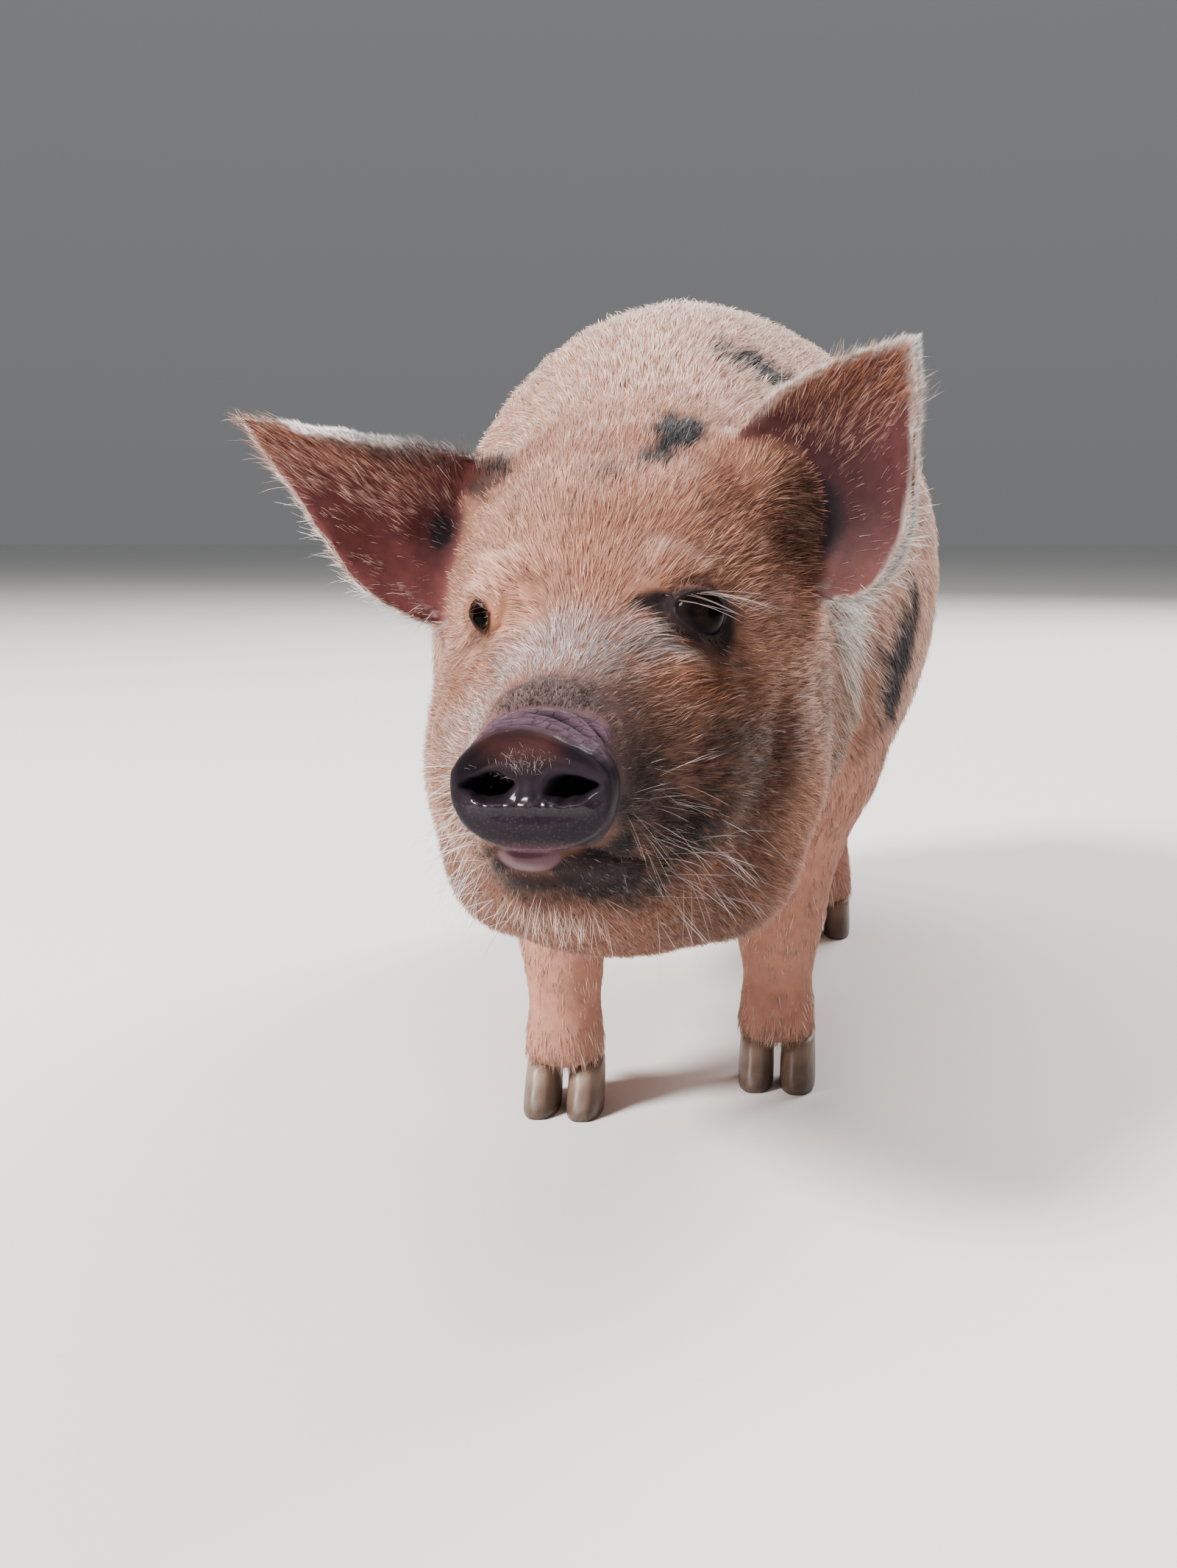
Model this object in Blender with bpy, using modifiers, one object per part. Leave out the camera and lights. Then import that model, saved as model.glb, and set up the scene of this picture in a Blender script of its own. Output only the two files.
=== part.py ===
# Young kunekune pig, standing with its head low and its ears pricked, as a still life-size model.
# Metres, +Z up. The pig faces -Y and its own left side is +X. The outline is that of the coat's tips.

import math

import bmesh
import bpy
from mathutils import Matrix, Vector

# Fits and mesh fineness
GAP = 0.0003
SWELL = 0.0007
FUSE_VOXEL = 0.0045
FUSE_SMOOTHING = 7
HEAD_TRIANGLES = 2050
BODY_TRIANGLES = 2200
MERGE = 0.00001

# Where the head sits: the middle of the snout disc, and how far the head turns and tips from the trunk
SNOUT_PLACE = Vector((-0.0133, -0.365, 0.193))
HEAD_TURN = math.radians(-3.7)
HEAD_ROLL = math.radians(-1.6)

# Head, from the snout back: distance back, top, bottom, half width, level of the widest place, and
# squareness above and below that level. Heights are above the middle of the snout disc.
HEAD_STATIONS = (
    (0.008, 0.0200, -0.0300, 0.0285, -0.001, 2.3, 2.3),
    (0.022, 0.0290, -0.0440, 0.0290, -0.004, 2.2, 2.3),
    (0.040, 0.0370, -0.0560, 0.0350, -0.007, 2.1, 2.2),
    (0.058, 0.0430, -0.0660, 0.0430, -0.009, 2.0, 2.2),
    (0.078, 0.0545, -0.0750, 0.0530, -0.010, 2.0, 2.3),
    (0.098, 0.0730, -0.0830, 0.0630, -0.010, 2.05, 2.3),
    (0.120, 0.0950, -0.0900, 0.0720, -0.012, 2.2, 2.3),
    (0.145, 0.1120, -0.0920, 0.0790, -0.014, 2.5, 2.3),
    (0.175, 0.1230, -0.0850, 0.0830, -0.010, 2.6, 2.3),
    (0.215, 0.1380, -0.0700, 0.0860, 0.000, 2.3, 2.2),
)

# Trunk, from the neck to the rump: place along Y, top, bottom, half width, level of the widest place,
# and squareness above and below that level
TRUNK_STATIONS = (
    (-0.205, 0.316, 0.118, 0.080, 0.200, 2.2, 2.2),
    (-0.160, 0.341, 0.112, 0.093, 0.205, 2.1, 2.2),
    (-0.110, 0.369, 0.112, 0.108, 0.216, 1.9, 2.2),
    (-0.050, 0.387, 0.108, 0.123, 0.230, 1.9, 2.3),
    (0.030, 0.397, 0.098, 0.137, 0.242, 1.9, 2.3),
    (0.110, 0.400, 0.098, 0.146, 0.250, 2.0, 2.3),
    (0.190, 0.393, 0.112, 0.144, 0.254, 2.1, 2.3),
    (0.255, 0.375, 0.140, 0.130, 0.262, 2.1, 2.3),
    (0.310, 0.342, 0.178, 0.100, 0.268, 2.1, 2.2),
    (0.340, 0.308, 0.222, 0.058, 0.268, 2.0, 2.0),
)

# Legs, from the top down: height, half width across, half depth fore and aft, and how far the middle is
# from the line between the top of the leg and the foot, backwards
FORELEG_STATIONS = (
    (0.235, 0.040, 0.062, 0.000),
    (0.190, 0.044, 0.060, 0.000),
    (0.150, 0.037, 0.046, 0.004),
    (0.118, 0.029, 0.034, 0.005),
    (0.092, 0.0245, 0.027, 0.000),
    (0.074, 0.0230, 0.0245, -0.003),
    (0.054, 0.0185, 0.0200, 0.000),
    (0.038, 0.0200, 0.0215, 0.001),
    (0.0245, 0.0205, 0.0215, 0.000),
)
HINDLEG_STATIONS = (
    (0.290, 0.040, 0.070, -0.010),
    (0.240, 0.058, 0.088, -0.010),
    (0.190, 0.055, 0.080, -0.016),
    (0.150, 0.042, 0.056, -0.010),
    (0.124, 0.0310, 0.0385, 0.008),
    (0.104, 0.0255, 0.0310, 0.021),
    (0.084, 0.0225, 0.0260, 0.020),
    (0.058, 0.0190, 0.0205, 0.010),
    (0.038, 0.0205, 0.0220, 0.003),
    (0.0245, 0.0210, 0.0220, 0.000),
)

# Legs: where each starts in the body and where its foot stands, and the wedge that parts it from the trunk
LEGS = {
    "foreleg_left": dict(
        stations=FORELEG_STATIONS, top=(0.066, -0.088), foot=(0.060, -0.082), back=-0.012, front=-0.160
    ),
    "foreleg_right": dict(
        stations=FORELEG_STATIONS, top=(-0.062, -0.100), foot=(-0.040, -0.134), back=-0.040, front=-0.195
    ),
    "hindleg_left": dict(
        stations=HINDLEG_STATIONS, top=(0.074, 0.238), foot=(0.080, 0.232), back=0.450, front=0.150
    ),
    "hindleg_right": dict(
        stations=HINDLEG_STATIONS, top=(-0.074, 0.248), foot=(-0.076, 0.268), back=0.450, front=0.160
    ),
}
LEG_PART_INNER = 0.010
LEG_PART_LOW = {"foreleg": 0.118, "hindleg": 0.128}
LEG_PART_HIGH = {"foreleg": 0.190, "hindleg": 0.225}
WEDGE_OUTER = 0.20

# Lumps that the fused body is built up with, in the head's frame: middle, half sizes
HEAD_LUMPS = {
    "brow": ((0.029, 0.108, 0.0600), (0.018, 0.022, 0.017)),
    "cheek": ((0.034, 0.092, -0.008), (0.028, 0.040, 0.036)),
    "jowl": ((0.040, 0.145, -0.050), (0.036, 0.042, 0.038)),
    "ear_root": ((0.056, 0.180, 0.086), (0.025, 0.024, 0.034)),
}
# The same for the trunk and limbs, in the pig's frame
BODY_LUMPS = {
    "shoulder": ((0.072, -0.085, 0.210), (0.040, 0.072, 0.090)),
    "ham": ((0.080, 0.245, 0.235), (0.052, 0.088, 0.090)),
    "rump": ((0.018, 0.262, 0.262), (0.092, 0.095, 0.092)),
}

# Snout disc and its nostrils, in the head's frame
DISC_HALF_WIDTH = 0.0290
DISC_TOP = 0.0205
DISC_BOTTOM = 0.0225
DISC_BACK = 0.0115
DISC_FRONT = -0.0015
NOSTRIL_OFFSET = 0.0146
NOSTRIL_HALF_SIZE = (0.0064, 0.0075, 0.0043)
DISC_SIDES = 28
NOSTRIL_SIDES = 14

# Eyes, in the head's frame: middle of each ball, ball radius
EYE_PLACE = Vector((0.0370, 0.0965, 0.0505))
EYE_RADIUS = 0.0112
EYE_SIDES = 12

# Planes that part the body, as (distance back at the top, distance back at the bottom) in the pig's frame
HEAD_NECK_Y = (-0.160, -0.212)
NECK_TRUNK_Y = (-0.108, -0.168)
PART_TOP = 0.45
PART_BOTTOM = 0.02

# Lower jaw, in the head's frame: mouth line from front to corner, and where the jaw ends below
MOUTH_FRONT = (0.000, -0.0245)
MOUTH_CORNER = (0.064, -0.0330)
JAW_BACK_LOW = (0.092, -0.110)

# Ears, in the pig's frame: the upper edge and the lower edge, both from the root to the tip
EARS = {
    "ear_left": dict(
        upper=(
            (0.0400, -0.1780, 0.2950),
            (0.0400, -0.1953, 0.3110),
            (0.0543, -0.2012, 0.3289),
            (0.0831, -0.2090, 0.3433),
            (0.1120, -0.2180, 0.3508),
        ),
        lower=(
            (0.0600, -0.1800, 0.2620),
            (0.0690, -0.2020, 0.2560),
            (0.0885, -0.2127, 0.2425),
            (0.1120, -0.2080, 0.2640),
            (0.1152, -0.2080, 0.3060),
            (0.1150, -0.2180, 0.3495),
        ),
        cup=0.030,
    ),
    "ear_right": dict(
        upper=(
            (-0.0520, -0.1800, 0.2960),
            (-0.0690, -0.2000, 0.3075),
            (-0.0916, -0.2098, 0.3125),
            (-0.1200, -0.2260, 0.3178),
            (-0.1530, -0.2430, 0.3212),
        ),
        lower=(
            (-0.0560, -0.2050, 0.2440),
            (-0.0740, -0.2400, 0.2365),
            (-0.1012, -0.2500, 0.2500),
            (-0.1230, -0.2510, 0.2790),
            (-0.1540, -0.2450, 0.3195),
        ),
        cup=0.026,
    ),
}
EAR_THICKNESS = 0.0056
EAR_STATIONS = 9
EAR_ACROSS = 7

# Tail: points of its middle line, and half thickness at each, ending in the tassel
TAIL_LINE = (
    (0.000, 0.322, 0.328),
    (0.002, 0.350, 0.320),
    (0.007, 0.366, 0.296),
    (0.010, 0.370, 0.268),
    (0.006, 0.366, 0.240),
    (-0.002, 0.360, 0.214),
    (-0.006, 0.360, 0.190),
)
TAIL_HALF = (0.0110, 0.0100, 0.0080, 0.0075, 0.0100, 0.0105, 0.0030)

# Trotters: two main claws and two dewclaws on each foot
CLAW_HALF_WIDTH = 0.0092
CLAW_HALF_LENGTH = 0.0200
CLAW_HEIGHT = 0.0240
CLAW_SPREAD = 0.0104
CLAW_SLOPE = 0.0080
CLAW_SIDES = 10
DEWCLAW_PLACE = (0.0100, 0.0210, 0.0400)
DEWCLAW_RADIUS = 0.0052
DEWCLAW_LENGTH = 0.0200

COLOURS = {
    "coat": (0.66, 0.43, 0.29),
    "snout": (0.10, 0.075, 0.075),
    "eye": (0.02, 0.014, 0.012),
    "hoof": (0.34, 0.25, 0.20),
}
ROUGHNESS = {"coat": 0.8, "snout": 0.4, "eye": 0.08, "hoof": 0.5}


def clear_scene():
    for obj in list(bpy.data.objects):
        bpy.data.objects.remove(obj, do_unlink=True)


def make_material(name):
    material = bpy.data.materials.new(name)
    material.use_nodes = True
    shader = material.node_tree.nodes["Principled BSDF"]
    shader.inputs["Base Color"].default_value = (*COLOURS[name], 1.0)
    shader.inputs["Roughness"].default_value = ROUGHNESS[name]
    shader.inputs["Metallic"].default_value = 0.0
    return material


def new_collection(name, hidden=False):
    collection = bpy.data.collections.new(name)
    bpy.context.scene.collection.children.link(collection)
    collection.hide_render = hidden
    return collection


def object_from(bm, name, collection):
    mesh = bpy.data.meshes.new(name)
    bmesh.ops.recalc_face_normals(bm, faces=bm.faces)
    bm.to_mesh(mesh)
    bm.free()
    obj = bpy.data.objects.new(name, mesh)
    collection.objects.link(obj)
    return obj


def evaluated_mesh(obj):
    bpy.context.view_layer.update()
    graph = bpy.context.evaluated_depsgraph_get()
    return bpy.data.meshes.new_from_object(obj.evaluated_get(graph))


def apply_modifiers(obj):
    mesh = evaluated_mesh(obj)
    obj.modifiers.clear()
    obj.data = mesh


def between(keys, at):
    # Smooth rows between station rows; the first number of each row is the place along
    places = [row[0] for row in keys]
    last = len(keys) - 1
    i = max(0, min(last - 1, sum(1 for p in places[1:-1] if p * order(places) <= at * order(places))))
    p0, p1 = keys[i], keys[i + 1]
    before, after = keys[max(0, i - 1)], keys[min(last, i + 2)]
    span = p1[0] - p0[0]
    t = (at - p0[0]) / span
    row = []
    for k in range(1, len(p0)):
        slope0 = (p1[k] - before[k]) / (p1[0] - before[0]) * span
        slope1 = (after[k] - p0[k]) / (after[0] - p0[0]) * span
        value = (
            (2 * t**3 - 3 * t**2 + 1) * p0[k]
            + (t**3 - 2 * t**2 + t) * slope0
            + (3 * t**2 - 2 * t**3) * p1[k]
            + (t**3 - t**2) * slope1
        )
        row.append(value)
    return row


def order(places):
    return 1 if places[-1] > places[0] else -1


def along_curve(points, share):
    # A point on the smooth curve through the given points, by share of the number of spans
    keys = [(i, *p) for i, p in enumerate(points)]
    return Vector(between(keys, share * (len(points) - 1)))


def power_ring(half_width, top, bottom, level, above, below, sides):
    # Points (across, up) round a section that bulges as a superellipse above and below its widest level
    ring = []
    for k in range(sides):
        angle = 2 * math.pi * k / sides
        c, s = math.cos(angle), math.sin(angle)
        squareness = above if s >= 0 else below
        height = (top - level) if s >= 0 else (level - bottom)
        across = half_width * math.copysign(abs(c) ** (2 / squareness), c)
        ring.append((across, level + height * math.copysign(abs(s) ** (2 / squareness), s)))
    return ring


def loft(name, rings, collection):
    # Joins rings of points into one closed form with flat ends
    bm = bmesh.new()
    rows = [[bm.verts.new(p) for p in ring] for ring in rings]
    for low, high in zip(rows, rows[1:]):
        for k in range(len(low)):
            n = (k + 1) % len(low)
            bm.faces.new((low[k], low[n], high[n], high[k]))
    bm.faces.new(rows[0])
    bm.faces.new(rows[-1])
    return object_from(bm, name, collection)


def station_loft(name, stations, steps, sides, collection, matrix=None):
    first, last = stations[0][0], stations[-1][0]
    rings = []
    for i in range(steps + 1):
        along = first + (last - first) * i / steps
        top, bottom, half_width, level, above, below = between(stations, along)
        ring = power_ring(half_width, top, bottom, level, above, below, sides)
        rings.append([Vector((x, along, z)) for x, z in ring])
    if matrix:
        rings = [[matrix @ p for p in ring] for ring in rings]
    return loft(name, rings, collection)


def leg_loft(name, stations, top, foot, steps, sides, collection):
    highest, lowest = stations[0][0], stations[-1][0]
    rings = []
    for i in range(steps + 1):
        z = highest + (lowest - highest) * i / steps
        half_across, half_depth, back = between(stations, z)
        share = min(1.0, (highest - z) / (highest - lowest) * 1.25)
        x = top[0] + (foot[0] - top[0]) * share
        y = top[1] + (foot[1] - top[1]) * share + back
        ring = []
        for k in range(sides):
            angle = 2 * math.pi * k / sides
            ring.append(Vector((x + half_across * math.cos(angle), y + half_depth * math.sin(angle), z)))
        rings.append(ring)
    return loft(name, rings, collection)


def lump(name, middle, half_sizes, matrix, collection, sides=24):
    bm = bmesh.new()
    bmesh.ops.create_uvsphere(bm, u_segments=sides, v_segments=sides // 2 + 2, radius=1.0)
    shape = Matrix.Translation(middle) @ Matrix.Diagonal((*half_sizes, 1.0))
    bmesh.ops.transform(bm, matrix=matrix @ shape, verts=bm.verts)
    return object_from(bm, name, collection)


def mirrored(place):
    return Vector((-place[0], place[1], place[2]))


def head_matrix():
    turn = Matrix.Rotation(HEAD_TURN, 4, "Z")
    roll = Matrix.Rotation(HEAD_ROLL, 4, "Y")
    return Matrix.Translation(SNOUT_PLACE) @ turn @ roll


def body_forms(helpers):
    # The clay of the body: lofts and lumps that overlap, before they are fused
    head = head_matrix()
    forms = [
        station_loft("form_trunk", TRUNK_STATIONS, 36, 40, helpers),
        station_loft("form_head", HEAD_STATIONS, 30, 36, helpers, head),
    ]
    for name, leg in LEGS.items():
        forms.append(leg_loft("form_" + name, leg["stations"], leg["top"], leg["foot"], 30, 20, helpers))
    for name, (middle, half_sizes) in HEAD_LUMPS.items():
        forms.append(lump("form_" + name + "_left", Vector(middle), half_sizes, head, helpers))
        forms.append(lump("form_" + name + "_right", mirrored(middle), half_sizes, head, helpers))
    for name, (middle, half_sizes) in BODY_LUMPS.items():
        forms.append(lump("form_" + name + "_left", Vector(middle), half_sizes, Matrix(), helpers))
        forms.append(lump("form_" + name + "_right", mirrored(middle), half_sizes, Matrix(), helpers))
    return forms


def fused(forms, collection):
    # One skin over all the forms, smoothed, then thinned to few faces, with more kept on the head
    bm = bmesh.new()
    for form in forms:
        bm.from_mesh(form.data)
    body = object_from(bm, "fused_body", collection)
    remesh = body.modifiers.new("one skin", "REMESH")
    remesh.mode = "VOXEL"
    remesh.voxel_size = FUSE_VOXEL
    remesh.adaptivity = 0.0
    smooth = body.modifiers.new("smooth", "SMOOTH")
    smooth.factor = 0.5
    smooth.iterations = FUSE_SMOOTHING
    apply_modifiers(body)
    head_group = body.vertex_groups.new(name="head")
    rest_group = body.vertex_groups.new(name="rest")
    front = sum(HEAD_NECK_Y) / 2
    for vertex in body.data.vertices:
        group = head_group if vertex.co.y < front else rest_group
        group.add([vertex.index], 1.0, "REPLACE")
    in_head = sum(1 for face in body.data.polygons if face.center.y < front) * 2
    everywhere = len(body.data.polygons) * 2
    steps = (
        ("rest", (in_head + BODY_TRIANGLES) / everywhere),
        ("head", (HEAD_TRIANGLES + BODY_TRIANGLES) / (in_head + BODY_TRIANGLES)),
    )
    for group, keep in steps:
        thin = body.modifiers.new("thin " + group, "DECIMATE")
        thin.decimate_type = "COLLAPSE"
        thin.vertex_group = group
        thin.ratio = keep
    apply_modifiers(body)
    return body


def prism(name, outline, depth, helpers):
    # A convex outline carried along the depth vector, as a cutter
    bm = bmesh.new()
    near = [bm.verts.new(p) for p in outline]
    far = [bm.verts.new(Vector(p) + depth) for p in outline]
    bm.faces.new(near)
    bm.faces.new(far)
    for k in range(len(near)):
        n = (k + 1) % len(near)
        bm.faces.new((near[k], near[n], far[n], far[k]))
    cutter = object_from(bm, name, helpers)
    cutter.hide_render = True
    cutter.display_type = "WIRE"
    return cutter


def boolean(obj, cutter, operation):
    cut = obj.modifiers.new(operation.lower(), "BOOLEAN")
    cut.object = cutter
    cut.operation = operation
    apply_modifiers(obj)


def copy_of(obj, name, collection):
    twin = bpy.data.objects.new(name, obj.data.copy())
    collection.objects.link(twin)
    return twin


def moved_copy(cutter, offset, helpers):
    twin = copy_of(cutter, cutter.name + "_moved", helpers)
    twin.data.transform(Matrix.Translation(offset))
    twin.hide_render = True
    return twin


def part_off(rest, name, cutter, into_piece, collection, helpers):
    # Takes the share of rest inside the cutter as its own piece, a gap away from what stays
    piece = copy_of(rest, name, collection)
    boolean(piece, moved_copy(cutter, into_piece, helpers), "INTERSECT")
    boolean(rest, cutter, "DIFFERENCE")
    return piece


def leg_wedge(name, leg, helpers):
    side = 1 if leg["foot"][0] > 0 else -1
    kind = name.split("_")[0]
    corners = (
        (side * LEG_PART_INNER, -0.05),
        (side * LEG_PART_INNER, LEG_PART_LOW[kind]),
        (side * WEDGE_OUTER, LEG_PART_HIGH[kind] + 0.06),
        (side * WEDGE_OUTER, -0.05),
    )
    outline = [Vector((x, leg["front"], z)) for x, z in corners]
    return prism("wedge_" + name, outline, Vector((0, leg["back"] - leg["front"], 0)), helpers)


def front_block(name, top_y, bottom_y, helpers):
    # All that lies in front of a plane across the body
    corners = ((-0.60, PART_TOP), (top_y, PART_TOP), (bottom_y, PART_BOTTOM), (-0.60, PART_BOTTOM))
    outline = [Vector((-0.3, y, z)) for y, z in corners]
    return prism(name, outline, Vector((0.6, 0, 0)), helpers)


def jaw_wedge(helpers):
    corners = ((-0.03, MOUTH_FRONT[1]), MOUTH_FRONT, MOUTH_CORNER, JAW_BACK_LOW, (-0.03, JAW_BACK_LOW[1]))
    matrix = head_matrix()
    outline = [matrix @ Vector((-0.12, y, z)) for y, z in corners]
    depth = matrix.to_3x3() @ Vector((0.24, 0, 0))
    return prism("wedge_jaw", outline, depth, helpers)


def swollen(obj, amount, helpers):
    # A copy whose faces all lie a little further out, to cut neighbours with a gap
    twin = copy_of(obj, obj.name + "_swollen", helpers)
    bm = bmesh.new()
    bm.from_mesh(twin.data)
    bmesh.ops.recalc_face_normals(bm, faces=bm.faces)
    bm.normal_update()
    moved = [v.co + v.normal * amount * v.calc_shell_factor() for v in bm.verts]
    for vertex, place in zip(bm.verts, moved):
        vertex.co = place
    bm.to_mesh(twin.data)
    bm.free()
    twin.hide_render = True
    return twin


def keep_largest(obj):
    # Drops crumbs that a cut leaves beside the piece
    bm = bmesh.new()
    bm.from_mesh(obj.data)
    bmesh.ops.remove_doubles(bm, verts=bm.verts, dist=MERGE)
    left = set(bm.faces)
    groups = []
    while left:
        stack = [left.pop()]
        group = set(stack)
        while stack:
            face = stack.pop()
            for edge in face.edges:
                for other in edge.link_faces:
                    if other in left:
                        left.discard(other)
                        group.add(other)
                        stack.append(other)
        groups.append(group)
    groups.sort(key=lambda faces: -sum(f.calc_area() for f in faces))
    crumbs = [f for group in groups[1:] for f in group]
    bmesh.ops.delete(bm, geom=crumbs, context="FACES")
    bmesh.ops.delete(bm, geom=[v for v in bm.verts if not v.link_faces], context="VERTS")
    bm.to_mesh(obj.data)
    bm.free()


def make_ear(name, ear, collection):
    # A cupped leaf between two edge curves, hollow side to the front, thickened to both sides
    bm = bmesh.new()
    rows = []
    for i in range(EAR_STATIONS + 1):
        share = i / EAR_STATIONS
        upper = along_curve(ear["upper"], share)
        lower = along_curve(ear["lower"], share)
        cup = ear["cup"] * (1 - share) ** 0.8 * min(1.0, 0.45 + 2.2 * share)
        row = []
        for k in range(EAR_ACROSS + 1):
            t = k / EAR_ACROSS
            hollow = (1 - (2 * t - 1) ** 2) ** 0.9
            row.append(bm.verts.new(upper.lerp(lower, t) + Vector((0, cup * hollow, 0))))
        rows.append(row)
    for low, high in zip(rows, rows[1:]):
        for k in range(EAR_ACROSS):
            bm.faces.new((low[k], low[k + 1], high[k + 1], high[k]))
    obj = object_from(bm, name, collection)
    thick = obj.modifiers.new("thick", "SOLIDIFY")
    thick.thickness = EAR_THICKNESS
    thick.offset = 0.0
    round_edge = obj.modifiers.new("round edge", "BEVEL")
    round_edge.width = EAR_THICKNESS * 0.3
    round_edge.segments = 1
    round_edge.limit_method = "ANGLE"
    round_edge.angle_limit = math.radians(60)
    apply_modifiers(obj)
    return obj


def make_snout_disc(collection, helpers):
    # The nose plate: a short drum with a rounded front rim, and two blind nostrils
    matrix = head_matrix()
    rings = []
    profile = ((DISC_BACK, 0.955), (0.0070, 0.985), (0.0030, 1.0), (0.0000, 0.985), (DISC_FRONT, 0.90))
    for y, share in profile:
        ring = power_ring(
            DISC_HALF_WIDTH * share, DISC_TOP * share, -DISC_BOTTOM * share, -0.001, 2.3, 2.3, DISC_SIDES
        )
        rings.append([matrix @ Vector((x, y, z)) for x, z in ring])
    disc = loft("snout_disc", rings, collection)
    for side in (-1, 1):
        tilt = Matrix.Rotation(math.radians(12 * side), 4, "Z")
        middle = Matrix.Translation((side * NOSTRIL_OFFSET, DISC_FRONT + 0.0005, 0.0))
        cutter = lump("nostril", Vector(), NOSTRIL_HALF_SIZE, matrix @ middle @ tilt, helpers, NOSTRIL_SIDES)
        boolean(disc, cutter, "DIFFERENCE")
    return disc


def make_tail(collection):
    curve = bpy.data.curves.new("tail", "CURVE")
    curve.dimensions = "3D"
    curve.bevel_depth = 1.0
    curve.bevel_resolution = 3
    curve.use_fill_caps = True
    spline = curve.splines.new("POLY")
    steps = 12
    spline.points.add(steps)
    radii = [(i, r) for i, r in enumerate(TAIL_HALF)]
    for i, point in enumerate(spline.points):
        share = i / steps
        point.co = (*along_curve(TAIL_LINE, share), 1.0)
        point.radius = between(radii, share * (len(TAIL_HALF) - 1))[0]
    guide = bpy.data.objects.new("tail_guide", curve)
    collection.objects.link(guide)
    mesh = evaluated_mesh(guide)
    bm = bmesh.new()
    bm.from_mesh(mesh)
    bmesh.ops.remove_doubles(bm, verts=bm.verts, dist=MERGE)
    bpy.data.objects.remove(guide)
    return object_from(bm, "tail", collection)


def make_eye(name, middle, radius, matrix, collection):
    bm = bmesh.new()
    bmesh.ops.create_uvsphere(bm, u_segments=EYE_SIDES, v_segments=EYE_SIDES // 2 + 1, radius=radius)
    bmesh.ops.transform(bm, matrix=matrix @ Matrix.Translation(middle), verts=bm.verts)
    return object_from(bm, name, collection)


def make_claw(name, place, side, collection):
    # One main claw: flat sole, upright sides, sloping front
    rings = []
    for height, wide, long, back in (
        (0.0, 0.96, 1.0, 0.0),
        (0.003, 1.0, 1.02, 0.0),
        (0.60 * CLAW_HEIGHT, 0.98, 0.93, 0.5),
        (CLAW_HEIGHT, 0.92, 0.84, 1.0),
    ):
        ring = []
        for k in range(CLAW_SIDES):
            angle = 2 * math.pi * k / CLAW_SIDES
            c, s = math.cos(angle), math.sin(angle)
            x = side * CLAW_SPREAD + CLAW_HALF_WIDTH * wide * math.copysign(abs(c) ** 0.8, c)
            y = CLAW_HALF_LENGTH * long * s + CLAW_SLOPE * (back - 0.6)
            ring.append(Vector((place[0] + x, place[1] + y, height)))
        rings.append(ring)
    return loft(name, rings, collection)


def make_dewclaw(name, place, side, collection):
    bm = bmesh.new()
    bmesh.ops.create_cone(
        bm,
        cap_ends=True,
        segments=8,
        radius1=DEWCLAW_RADIUS,
        radius2=DEWCLAW_RADIUS * 0.45,
        depth=DEWCLAW_LENGTH,
    )
    tilt = Matrix.Rotation(math.radians(-150), 4, "X")
    middle = Vector((place[0] + side * DEWCLAW_PLACE[0], place[1] + DEWCLAW_PLACE[1], DEWCLAW_PLACE[2]))
    bmesh.ops.transform(bm, matrix=Matrix.Translation(middle) @ tilt, verts=bm.verts)
    return object_from(bm, name, collection)


def make_feet(cutter, materials, collection):
    made = []
    for name, leg in LEGS.items():
        foot = (*leg["foot"], 0.0)
        short = name.replace("leg_", "_")
        for label, side in (("outer", 1 if foot[0] > 0 else -1), ("inner", -1 if foot[0] > 0 else 1)):
            made.append(make_claw(f"claw_{short}_{label}", foot, side, collection))
            dewclaw = make_dewclaw(f"dewclaw_{short}_{label}", foot, side, collection)
            boolean(dewclaw, cutter, "DIFFERENCE")
            keep_largest(dewclaw)
            made.append(dewclaw)
    for obj in made:
        obj.data.materials.clear()
        obj.data.materials.append(materials["hoof"])
    return made


def stand_on_origin(objects):
    # Puts the middle of the whole model's footprint on the origin, with the soles at z = 0
    corners = [obj.matrix_world @ v.co for obj in objects for v in obj.data.vertices]
    low = Vector(min(c[k] for c in corners) for k in range(3))
    high = Vector(max(c[k] for c in corners) for k in range(3))
    offset = Vector((-(low.x + high.x) / 2, -(low.y + high.y) / 2, -low.z))
    for obj in objects:
        obj.data.transform(Matrix.Translation(offset))
    return offset


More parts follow.
